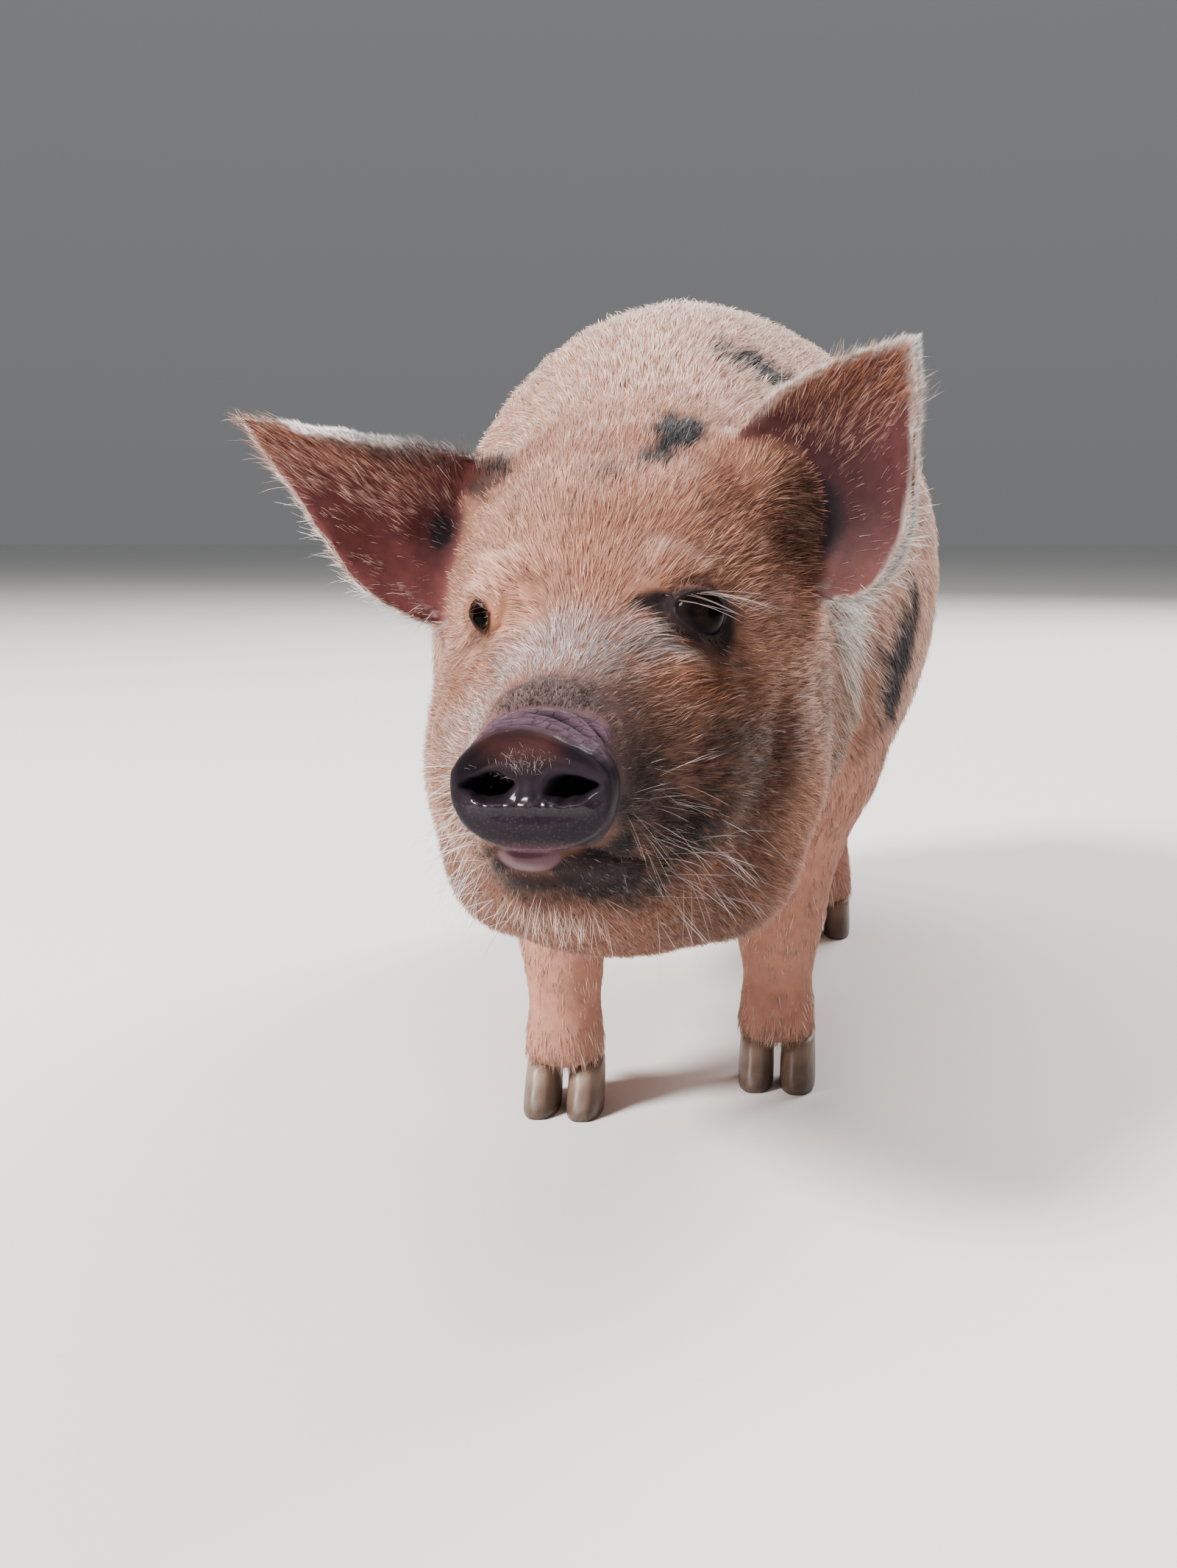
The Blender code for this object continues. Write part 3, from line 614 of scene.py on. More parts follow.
def sculptEyes(h):
    ball = eyeSetup["radius"]
    for side in (-1, 1):
        d, r, along, high = eyeAngles(h, side)
        ahead = eyeAxes(side)[0]
        near = ease(r, 20, 14.5) * ease(d @ ahead, 0.0, 0.2)
        g = eyeReach(along, high, side)
        lid = ball + np.where(high > 0, 2.0, 1.1) + 0.5 * (side < 0)
        blend = ease(g, 1.75, 1.10)
        target = mixed(r, lid, blend)
        target -= 0.8 * hill(g - 1.55, 0.09) * np.where(high > 0, 1.0, 0.7)  # fold behind the lid
        moved = mixed(r, mixed(target, ball - 1.3, ease(g, 1.05, 0.96)), near)
        closed = (g > 1.0) & (r < ball + 14) & (d @ ahead > -0.3)  # no crease may bare the ball
        moved = np.where(closed, np.maximum(moved, ball + 0.9 * ease(g, 1.0, 1.1)), moved)
        h = h + d * (moved - r)[:, None]
    return h


def lineDistance(points, line):  # distance from a bent line, and how far along it from 0 to 1
    line = np.array(line, dtype=float)
    lengths = norm(np.diff(line, axis=0))
    best, share, before = np.full(len(points), 1e9), np.zeros(len(points)), 0.0
    for a, b, size in zip(line[:-1], line[1:], lengths):
        t = np.clip(((points - a) @ (b - a)) / size ** 2, 0, 1)
        away = norm(points - (a + t[:, None] * (b - a)))
        closer = away < best
        best = np.where(closer, away, best)
        share = np.where(closer, (before + t * size) / lengths.sum(), share)
        before += size
    return best, share


def mirrored(place, side):
    return (side * place[0], *place[1:])


def crease(points, line, side, width, depth):  # depth of a soft crease that fades at both ends
    away, share = lineDistance(points, [mirrored(place, side) for place in line])
    return depth * hill(away, width) * np.sin(math.pi * np.clip(share, 0.05, 0.95)) ** 0.5


def mound(points, middle, side, radius, height):
    return height * hill(norm(points - mirrored(middle, side)), radius)


jowlFold = (
    (80, 176, 62), (77, 160, 48), (74, 137, 29), (70, 117, 7), (68, 110, -14), (64, 106, -34), (52, 102, -56),
)
faceCreases = (  # line, width, depth, sides
    (((31, 84, 46), (38, 80, 41), (47, 86, 36), (60, 96, 30)), 2.4, 2.0, (-1, 1)),
    (((41, 87, 46), (47, 93, 42), (55, 102, 37)), 1.6, 1.8, (-1, 1)),
    (((20, 82, 58), (26, 85, 57), (32, 87, 55)), 3.0, 2.4, (1,)),
    (((28, 84, 66), (38, 88, 71), (50, 100, 68)), 2.6, 1.0, (-1, 1)),
    (jowlFold, 11.0, 2.4, (-1, 1)),
)
faceMounds = (  # middle, radius, height, on both sides
    ((27, 86, 67), 7.0, 2.4), ((36, 93, 70), 8.0, 2.2), ((48, 99, 67), 8.0, 1.6), ((41, 78, 33), 6.0, 2.2),
    ((54, 86, 24), 8.0, 2.0), ((30, 30, -4), 13.0, 1.8), ((44, 80, -12), 18.0, 3.0), ((58, 96, 2), 16.0, 2.6),
)
# the valley where the right eye's bulge meets the face: middle, half sizes, rounds of evening
evenedPlace = ((-25.0, 84.0, 52.0), (6.6, 9.0, 10.0), 90)


def sculptFace(mesh):
    world = readPlaces(mesh)
    chosen = np.nonzero(headPlace(world)[:, 1] < skinSetup["headBack"])[0]
    for step in (sculptSnout, sculptMouth):
        n = readNormals(mesh)[chosen] @ headTurn
        world[chosen] = fromHead(step(headPlace(world[chosen]), n))
        writePlaces(mesh, world)
    n = readNormals(mesh)[chosen] @ headTurn
    h = headPlace(world[chosen])
    for line, width, depth, sides in faceCreases:
        for side in sides:
            h = h - n * crease(h, line, side, width, depth)[:, None]
    for middle, radius, height in faceMounds:
        for side in (-1, 1):
            h = h + n * mound(h, middle, side, radius, height)[:, None]
    world[chosen] = fromHead(sculptEyes(h))
    middle, size, rounds = evenedPlace
    around = ease(norm((headPlace(world) - middle) / size), 1.0, 0.6)
    near = np.nonzero(around > 0)[0]
    number = np.full(len(world), -1)
    number[near] = np.arange(len(near))
    edges = number[readEdges(mesh)]
    edges = edges[(edges >= 0).all(axis=1)]
    world[near] = spread(world[near], edges, rounds, 0.5 * around[near])
    writePlaces(mesh, world)


bodyCreases = (  # line, width, depth, on both sides
    (((0.100, -0.160, 0.275), (0.103, -0.145, 0.190), (0.075, -0.150, 0.140)), 0.012, 0.0034),
    (((0.108, -0.045, 0.205), (0.085, -0.040, 0.120)), 0.014, 0.0050),
    (((0.050, -0.120, 0.150), (0.030, -0.150, 0.135)), 0.012, 0.0040),
    (((0.120, 0.165, 0.230), (0.105, 0.150, 0.140), (0.045, 0.150, 0.130)), 0.016, 0.0060),
    (((0.016, 0.335, 0.330), (0.020, 0.345, 0.250)), 0.012, 0.0030),
)
bodyMounds = (  # middle, radius, height, on both sides
    ((0.110, -0.095, 0.260), 0.045, 0.0045), ((0.105, -0.085, 0.165), 0.034, 0.0050),
    ((0.118, 0.235, 0.240), 0.060, 0.0060), ((0.082, -0.225, 0.175), 0.032, 0.0050),
    ((0.072, 0.262, 0.112), 0.020, 0.0030), ((0.052, -0.098, 0.088), 0.018, 0.0018),
)
# middle, radius, depth
earHollows = (((0.0725, -0.2120, 0.278), 0.010, 0.0030), ((-0.0780, -0.2180, 0.2755), 0.009, 0.0022))


def sculptBody(mesh):
    world, n = readPlaces(mesh), readNormals(mesh)
    lifted = np.zeros(len(world))
    wobble = 0.006 * (softNoise(world, 0.03, 9) - 0.5)
    for side in (-1, 1):
        for line, width, depth in bodyCreases:
            lifted -= crease(world + wobble[:, None], line, side, width, depth)
        for middle, radius, height in bodyMounds:
            lifted += mound(world, middle, side, radius, height)
    for middle, radius, depth in earHollows:
        facing = ease(-n[:, 1], 0.2, 0.6)
        lifted -= depth * facing * hill(norm(world - middle), radius)
    lifted += 0.0022 * (softNoise(world, 0.05, 10) - 0.5) * (world[:, 1] > -0.2)
    world += n * lifted[:, None]
    writePlaces(mesh, world)


skinMesh = makeSkinMesh()
sculptFace(skinMesh)
sculptBody(skinMesh)
skinPlaces, skinNormals, skinEdges = readPlaces(skinMesh), readNormals(skinMesh), readEdges(skinMesh)
skinHead = headPlace(skinPlaces)
skinRegion = findRegions(skinPlaces)
skinHigh, skinUp = skinPlaces[:, 2], skinNormals[:, 2]  # height over the floor, and how far each point faces up
print("skin sculpted")


def regionMask(*names):
    return np.isin(skinRegion, [fleshNodes.index(name) for name in names]).astype(float)


headNodes, bodyNodes, earNodes = ("head", "lower_jaw"), ("trunk", "neck"), ("ear_left", "ear_right")
legNodes = ("foreleg_left", "foreleg_right", "hindleg_left", "hindleg_right")
headMask, bodyMask, legMask = regionMask(*headNodes), regionMask(*bodyNodes), regionMask(*legNodes)
earSetup = {  # root, top of the root, tip
    "ear_left": ((0.066, -0.196, 0.285), (0.0441, -0.1721, 0.3250), (0.1165, -0.2226, 0.3508)),
    "ear_right": ((-0.062, -0.215, 0.272), (-0.0550, -0.2050, 0.3060), (-0.1485, -0.2476, 0.3212)),
}


def earFields():  # how far each point is on the hollow side, on the rim, and near the upper edge
    hollow, rim, upper = np.zeros((3, len(skinPlaces)))
    for name, (root, top, tip) in earSetup.items():
        mine = regionMask(name)
        chosen = mine > 0.5
        points = skinPlaces[chosen] - skinPlaces[chosen].mean(0)
        axis = np.linalg.svd(points, full_matrices=False)[2][2]
        if axis[1] > 0:
            axis = -axis
        hollow += mine * ease(skinNormals @ axis, -0.10, 0.30)
        away = norm(skinPlaces - root)
        upper += mine * ease(lineDistance(skinPlaces, (top, tip))[0], 0.044, 0.012)
        inward = spread(skinPlaces, skinEdges, 7, 0.5 * mine)
        offset = skinPlaces - inward
        offset -= (offset @ axis)[:, None] * axis
        size = norm(offset)
        size /= np.percentile(size[chosen & (away > 0.04)], 97)
        edgeOn = ease(np.abs(skinNormals @ axis), 0.60, 0.30) * ease(size, 0.12, 0.30)
        rim += mine * np.maximum(ease(size, 0.42, 0.74), edgeOn) * ease(away, 0.034, 0.050)
    return spread(hollow, skinEdges, 2), rim, upper


earHollow, earRim, earUpper = earFields()


# dark spots: middle in world metres, way of the long axis, half sizes, strength
darkSpots = (
    ((0.0215, -0.2075, 0.3139), (0.24, 0.86, 0.45), (0.019, 0.0095), 1.0),
    ((-0.0023, -0.2376, 0.2968), (0, 0.8, 0.6), (0.0080, 0.0060), 0.6),
    ((0.0150, -0.2240, 0.3060), (0.3, 0.8, 0.5), (0.0100, 0.0075), 0.9),
    ((-0.0126, -0.2377, 0.2954), (0, 0.8, 0.6), (0.0060, 0.0050), 0.25),
    ((0.0490, -0.1150, 0.3520), (0.6, 0.5, -0.4), (0.022, 0.014), 1.0),
    ((-0.0697, -0.2092, 0.3056), (-1, -0.4, 0.3), (0.024, 0.013), 0.85),
    ((-0.0900, -0.2150, 0.3080), (-1, -0.4, 0.3), (0.022, 0.012), 0.6),
    ((0.1200, -0.0860, 0.2130), (0, 0.94, 0.30), (0.046, 0.027), 1.0),
    ((0.1240, -0.0560, 0.2330), (0, 1, 0.2), (0.026, 0.020), 1.0),
    ((-0.1340, 0.0700, 0.2850), (0, 1, -0.3), (0.050, 0.034), 1.0),
    ((-0.1180, 0.1050, 0.3150), (0, 1, 0.3), (0.024, 0.018), 1.0),
    ((0.1050, 0.2450, 0.3100), (0, 1, -0.5), (0.036, 0.026), 1.0),
    ((-0.0350, 0.2700, 0.3450), (1, 0.2, 0), (0.026, 0.018), 0.9),
    ((-0.0950, -0.0750, 0.3050), (0, 1, 0), (0.015, 0.011), 0.9),
    ((0.0200, 0.0900, 0.3900), (0.3, 1, 0), (0.018, 0.012), 0.7),
    ((-0.1000, 0.2350, 0.2200), (0, 0.3, 1), (0.030, 0.020), 0.9),
)
# colours of hair and skin, in linear light
palette = {
    "ginger": (0.56, 0.245, 0.145),
    "cream": (0.80, 0.570, 0.465),
    "rust": (0.33, 0.115, 0.055),
    # dark brown, deepened for the painted shade on the lower left of the face
    "umber": (0.105, 0.052, 0.037),
    "black": (0.007, 0.006, 0.008),
    "mauve": (0.090, 0.060, 0.061),
    "pinkSkin": (0.40, 0.185, 0.135),
    # skin under the face's hair: partly its own brown, partly painted shade between the hairs
    "darkSkin": (0.165, 0.075, 0.048),
    "earSkin": (0.100, 0.031, 0.031),
    "disc": (0.012, 0.008, 0.012),
    "discRed": (0.058, 0.020, 0.019),
    "foldSkin": (0.102, 0.061, 0.084),
    "lip": (0.090, 0.038, 0.050),
    "white": (0.86, 0.80, 0.75),
    "pale": (0.66, 0.56, 0.54),
}


def layered(start, layers):  # colours of the palette laid over each other by their masks
    base = np.tile(palette[start], (len(skinPlaces), 1))
    for name, mask in layers:
        base = base + (palette[name] - base) * np.clip(mask, 0, 1)[:, None]
    return base


def spotMask(middle, along, sizes, strength):
    p = skinPlaces - middle
    along = unit(np.array(along, dtype=float))
    lengthwise = p @ along
    crosswise = norm(p - lengthwise[:, None] * along)
    d = np.sqrt((lengthwise / sizes[0]) ** 2 + (crosswise / sizes[1]) ** 2)
    d += 0.8 * (softNoise(skinPlaces, 0.006, 1) - 0.5) + 0.45 * (softNoise(skinPlaces, 0.0025, 2) - 0.5)
    return strength * ease(d, 1.25, 0.80)


def ellipsoid(middle, sizes):  # 1 at the middle, 0 beyond, in head millimetres
    d = norm((skinHead - middle) / sizes)
    d += 0.35 * (softNoise(skinHead, 7.0, 3) - 0.5)
    return ease(d, 1.2, 0.35)


def ellipsoidPair(middle, sizes):
    return np.maximum(ellipsoid(middle, sizes), ellipsoid(mirrored(middle, -1), sizes))


def worldDistance(middle, sizes):
    return norm((skinPlaces - middle) / sizes)


def ellipsoidWorld(middle, sizes):
    return ease(worldDistance(middle, sizes), 1.2, 0.35)


lidAndShadeLines = (  # black lids and painted shade under the brows, from the corners of the eyes: line, width, strength
    (((21, 83, 57), (28, 86, 56), (34, 88, 54)), 6.2, 1.0),
    (((31, 87, 58), (36, 90, 60), (42, 92, 62)), 3.0, 0.5),
    (((28, 85, 52), (33, 87, 47), (38, 88, 43)), 4.5, 0.9),
    (((42, 88, 44), (48, 93, 41), (57, 104, 39)), 3.6, 1.0),
    (((-40, 88, 45), (-46, 93, 42), (-52, 99, 39)), 2.6, 0.8),
)
shadeAndDarkPatches = (  # dark hair and painted shade beside the snout and round the mouth: strength, middle, half sizes
    (0.8, (35, 24, -6), (19, 26, 25)), (0.85, (43, 44, -22), (25, 32, 26)), (0.9, (31, 36, -40), (24, 30, 17)),
    (0.5, (-31, 24, -14), (9, 16, 14)), (0.5, (-28, 36, -32), (12, 18, 12)), (1, (20, 16, -27), (13, 14, 9)),
    (0.6, (-21, 16, -27), (11, 12, 8)), (1, (30, 14, -14), (9, 14, 18)), (1, (26, 20, -26), (15, 18, 12)),
    (0.9, (12, 14, -29), (11, 12, 7)), (0.7, (-17, 15, -28), (8, 12, 6)),
)
earCanals = (  # painted shade in the ear canals: middle, half sizes in world metres
    ((0.0760, -0.2110, 0.2800), (0.020, 0.045, 0.024)), ((-0.0755, -0.2190, 0.2750), (0.006, 0.03, 0.010)),
)


def faceMasks():
    x, y, z = skinHead.T
    onHead = regionMask(*headNodes, "snout_disc")
    onDisc = spread(regionMask("snout_disc"), skinEdges, 3)
    reach = shownReach(x, z)
    m = {}
    frontOfDisc = ease(y, 12.5, 10.5) * ease(reach, 1.12, 1.05) * ease(z, -24.2, -22.8)
    m["disc"] = frontOfDisc * np.maximum(onDisc, onHead)
    m["rimSide"] = ease(onDisc, 0.35, 0.65) * (1 - m["disc"]) * ease(y, 13, 10)
    m["discRed"] = m["disc"] * hill(z - 13.0, 5.0) * ease(np.abs(x + 3), 19, 8)
    topOfMuzzle = ease(np.arctan2(z + 4, np.abs(x) + 1e-6), 0.35, 0.8) * onHead
    m["fold"] = topOfMuzzle * ease(y, 20.5, 18.5) * ease(y, -3, 0) * ease(reach, 0.90, 0.98)
    m["fold"] *= ease(np.abs(x), 29, 23)
    m["hump"] = onHead * ease(y, 17.5, 20.5) * ease(y, 41, 27) * ease(np.abs(x + 1), 26, 11) * topOfMuzzle
    across = x - mouthSetup["lipSide"]
    lipOval = np.sqrt((across / 11.5) ** 2 + ((z + 26.6 - across ** 2 / 120) / 4.6) ** 2)
    m["lip"] = onHead * ease(y, 22, 14) * ease(lipOval, 1.1, 0.85)
    m["chinDark"] = onHead * ease(y, 46, 32) * hill(z + 36.0, 9.0) * ease(np.abs(x - 6), 37, 18)
    m["muzzleGrey"] = onHead * ease(y, 74, 28) * ease(z, -34, -4) * (0.12 + 0.88 * ease(x, -14, 22))
    m["darkSide"] = np.maximum.reduce([strength * ellipsoid(*patch) for strength, *patch in shadeAndDarkPatches])
    m["bridge"] = np.maximum(ellipsoid((-2, 54, 40), (32, 32, 24)), 0.9 * ellipsoid((22, 74, 42), (18, 20, 14)))
    m["cheek"] = np.maximum(ellipsoid((51, 88, 25), (19, 24, 15)), 0.5 * ellipsoid((-50, 90, 27), (16, 20, 13)))
    # black lid skin and painted shade round the eyes
    eyeDark, rim = np.zeros((2, len(x)))
    for side, strength, reach in ((-1, 0.9, 1.5), (1, 1.0, 2.2)):
        d, r, along, high = eyeAngles(skinHead, side)
        g = eyeReach(along, high, side)
        close = ease(r, 24, 17) * ease(d @ eyeAxes(side)[0], -0.2, 0.1)
        eyeDark = np.maximum(eyeDark, strength * ease(g, reach, 1.15) * close)
        rim = np.maximum(rim, ease(g, 1.20, 1.10) * close)
    for line, width, strength in lidAndShadeLines:
        eyeDark = np.maximum(eyeDark, strength * ease(lineDistance(skinHead, line)[0], width, 0.5 * width))
    m["eyeDark"], m["eyeRim"] = eyeDark, rim
    back = y + x * x / 110.0
    # lines of painted shade in the creases between the rolls
    m["creases"] = m["fold"] * np.maximum.reduce([hill(back - place - 0.4, 0.9) for place, _, _ in creaseSetup])
    m["pore"] = m["disc"] * ease(z, -3.5, -6.5)
    return m


def paintSkin():
    m = faceMasks()
    x, y, z = skinHead.T
    spots = np.maximum.reduce([spotMask(*spot) for spot in darkSpots])
    patchy, fine = softNoise(skinPlaces, 0.045, 4), softNoise(skinPlaces, 0.009, 5)
    onBody = spread(bodyMask, skinEdges, 20)
    behind = x - np.interp(z, (-56, -14, 29, 62), (50, 69, 75, 82))
    shadedLowSide = headMask * ease(x, 20, 62) * ease(z, 62, 0) * ease(behind, 16, -4)
    shadedUnderside = headMask * ease(z, -30, -46) * ease(y, 150, 90)
    ears = regionMask(*earNodes)
    canals = [worldDistance(*canal) for canal in earCanals]
    # painted shade in and round the ear canals
    shades = [
        np.maximum(ease(d, 1.25, 0.6), 0.55 * ease(d, 2.4, 0.9)) * np.maximum(earHollow, 0.8 * regionMask("head"))
        for d in canals
    ]
    onFace = regionMask(*headNodes, "snout_disc")
    # painted shade down in the nostrils
    nostrils = [
        ease(nostrilReach(x, z, side), 1.15, 0.85) * ease(y, 24, 20) * ease(y, 0.0, 2.5) * onFace
        for side in (-1, 1)
    ]
    hair = layered("ginger", [
        ("cream", 0.26 * patchy + 0.14 * fine),
        ("cream", onBody * (0.42 + 0.42 * ease(skinUp, -0.1, 0.75))),
        ("cream", 0.30 * ease(x, 14, -40) * (1 - onBody)),  # right side of the head
        ("cream", legMask * (0.25 + 0.40 * ease(skinHigh, 0.12, 0.05))),
        ("cream", 0.7 * ellipsoidPair((90, 192, 5), (24, 44, 62))),  # behind the jowls
        # darker lower left side of the face: partly darker hair, partly painted shade
        ("rust", 0.40 * shadedLowSide),
        ("umber", 0.90 * shadedLowSide * ease(z, 34, 0) + 0.6 * ellipsoid((54, 58, -14), (30, 40, 40))),
        ("rust", 0.30 * ellipsoidWorld((0.006, -0.258, 0.285), (0.030, 0.034, 0.026))),  # forehead
        ("rust", 0.35 * ellipsoidWorld((0.046, -0.235, 0.290), (0.024, 0.034, 0.022))),  # over the left eye
        ("rust", 0.85 * m["cheek"]),
        # the left cheek darker still, with painted shade
        ("umber", 0.50 * m["cheek"] * (x > 0)),
        # darker under the head, more on the left: painted shade over the chin's own ginger
        ("rust", 0.85 * shadedUnderside),
        ("umber", shadedUnderside * (0.20 + 0.60 * ease(x, 5, 45))),
        ("umber", 0.55 * ellipsoidWorld((0.085, -0.165, 0.165), (0.055, 0.075, 0.085))),  # painted shade on the left jowl and neck
        ("rust", 0.42 * ease(patchy, 0.50, 0.80) * (1 - onBody)),
        ("pale", 0.95 * m["bridge"]),
        ("pale", 0.85 * ellipsoid((-34, 42, 8), (22, 36, 36))),  # right side of the muzzle
        ("mauve", 0.45 * ellipsoid((51, 95, 34), (11, 11, 7))),  # under the left eye
        ("mauve", 0.72 * m["muzzleGrey"] * (1 - 0.6 * m["bridge"])),
        ("mauve", 0.92 * m["hump"]),
        ("umber", 0.60 * m["hump"]),
        # painted shade at the foot of the hump, where it rises behind the folds
        ("black", 0.70 * m["hump"] * ease(y, 31, 20)),
        # dark hair and painted shade beside the snout and round the mouth
        ("black", m["darkSide"] * (1.0 + 0.3 * (fine - 0.5))),
        ("black", m["chinDark"]),
        # black lids and painted shade round the eyes, on the hair
        ("black", 1.05 * m["eyeDark"]),
        ("rust", 0.30 * ears * (1 - earHollow)),
        ("cream", 0.4 * earHollow),
        ("rust", 0.85 * earHollow * earUpper),
        ("umber", 0.35 * earHollow * (x < 0)),
        # white rim hairs: partly their own pale colour, partly painted backlight
        ("white", earRim),
        ("black", spots * (1 - 0.9 * earHollow * (1 - earUpper))),
        ("pale", 0.10 * ellipsoid((-6, 40, -52), (30, 24, 9)) * (1 - m["chinDark"])),  # beard
    ] + [
        # painted shade on the hair over the ear canals
        ("black", 0.8 * shade * np.maximum(earHollow, 0.8 * ease(d, 1.3, 0.9)))
        for shade, d in zip(shades, canals)
    ])
    # dark skin as the base: partly its own colour, partly painted shade between the hairs
    skin = layered("darkSkin", [
        ("pinkSkin", 0.15 + 0.75 * np.maximum(onBody, legMask)),
        ("ginger", 0.45 * ellipsoid((-27, 84, 52), (13, 12, 15))),  # beside the right eye
        ("mauve", 0.8 * m["muzzleGrey"] * (1 - 0.4 * m["bridge"])),
        ("mauve", 0.9 * m["hump"]),
        # dark skin with painted shade beside the snout, and dark skin under the chin's dark hair
        ("black", np.clip(0.85 * m["darkSide"] + 0.9 * m["chinDark"], 0, 0.95)),
        ("black", 0.93 * spots),
        ("earSkin", np.maximum(earHollow, 0.4 * ears)),
        # painted glow of light shining through the lower part of the left ear
        ("pinkSkin", 0.10 * earHollow * ease(skinHigh, 0.285, 0.255) * (x > 0)),
        # painted shade in the upper hollow of the left ear
        ("black", 0.40 * earHollow * (x > 0) * ease(skinHigh, 0.255, 0.285)),
        # pale rim skin: partly its own colour, partly painted backlight
        ("white", 0.40 * earRim),
        ("foldSkin", m["fold"]),
        # painted shade in the creases between the rolls
        ("black", 0.8 * m["creases"]),
        ("disc", np.maximum(m["disc"], 0.85 * m["rimSide"] * ease(z, 16, 8))),
        ("foldSkin", 0.8 * m["rimSide"] * ease(z, 8, 16)),
        ("discRed", 0.9 * m["discRed"]),
        ("lip", 0.55 * m["disc"] * ease(z, -17.0, -21.5) * ease(np.abs(x), 20, 8)),
        ("foldSkin", 0.7 * m["disc"] * ease(shownReach(x, z), 0.93, 0.99) * ease(z, 4, 12)),
        ("lip", m["lip"] * ease(z, -21.5, -23.5)),
        # black lids and painted shade round the eyes, on the skin
        ("black", 0.96 * m["eyeDark"]),
    # painted shade in the nostrils and the ear canals
    ] + [("black", mask) for mask in nostrils] + [("black", 0.97 * shade) for shade in shades])
    ledge = hill(z + 6.4, 3.0) * ease(np.abs(x), 25, 18)
    wet = m["disc"] * (0.06 + 0.12 * ease(z, 0, -8) + 0.5 * ledge) + 0.4 * m["lip"] + 0.06 * m["rimSide"]
    wet = np.clip(wet * ((1 - nostrils[0]) * (1 - nostrils[1])) + m["eyeRim"] * 0.06, 0, 1)
    bare = np.clip(m["disc"] + m["rimSide"] + m["fold"] + m["lip"] + ease(m["eyeRim"], 0.2, 0.7), 0, 1)
    return hair, skin, wet, bare, m


hairTint, skinTint, skinWet, skinBare, masks = paintSkin()
print("markings painted")


# the shader group that the materials share
def makeMottle():  # light and dark mottling of one colour over the surface
    group = bpy.data.node_groups.new("mottle", "ShaderNodeTree")
    for label, way, kind in (
        ("Colour", "INPUT", "Color"), ("Place", "INPUT", "Vector"), ("Size", "INPUT", "Float"),
        ("Amount", "INPUT", "Float"), ("Colour", "OUTPUT", "Color"),
    ):
        group.interface.new_socket(name=label, in_out=way, socket_type="NodeSocket" + kind)
    source = group.nodes.new("NodeGroupInput").outputs
    noise = addNode(group, "ShaderNodeTexNoise", {
        "Vector": source["Place"], "Scale": source["Size"], "Detail": 4.0, "Roughness": 0.6})
    dark = mixColour(group, "MULTIPLY", source["Amount"], source["Colour"], (0.35, 0.28, 0.25))
    light = mixColour(group, "MULTIPLY", source["Amount"], source["Colour"], (1.7, 1.6, 1.5))
    result = mixColour(group, "MIX", ramp(group, noise.outputs["Fac"], 0.3, 0.7), dark, light)
    fill(group, group.nodes.new("NodeGroupOutput"), {"Colour": result})
    return group


mottle = makeMottle()


def mottled(tree, colour, place, size, amount):
    node = addNode(tree, "ShaderNodeGroup", node_tree=mottle)
    fill(tree, node, {"Colour": colour, "Place": place, "Size": size, "Amount": amount})
    return node.outputs["Colour"]


skinLook = {
    "mottleSize": 160.0, "mottleAmount": 0.28, "poreScale": 900.0, "discPoreScale": 760.0, "discPoreShare": 0.45,
    "crackScale": 430.0, "crackStretch": (0.34, 1.0, 1.0), "crackWander": (0.0022, 0.0022, 0.0022),
    "crackShadeTint": (0.35, 0.30, 0.32), "bump": 0.0005, "dryRough": 0.62, "wetRough": 0.30, "shine": 0.06,
    "filmRough": 0.13, "filmIor": 1.4,
}


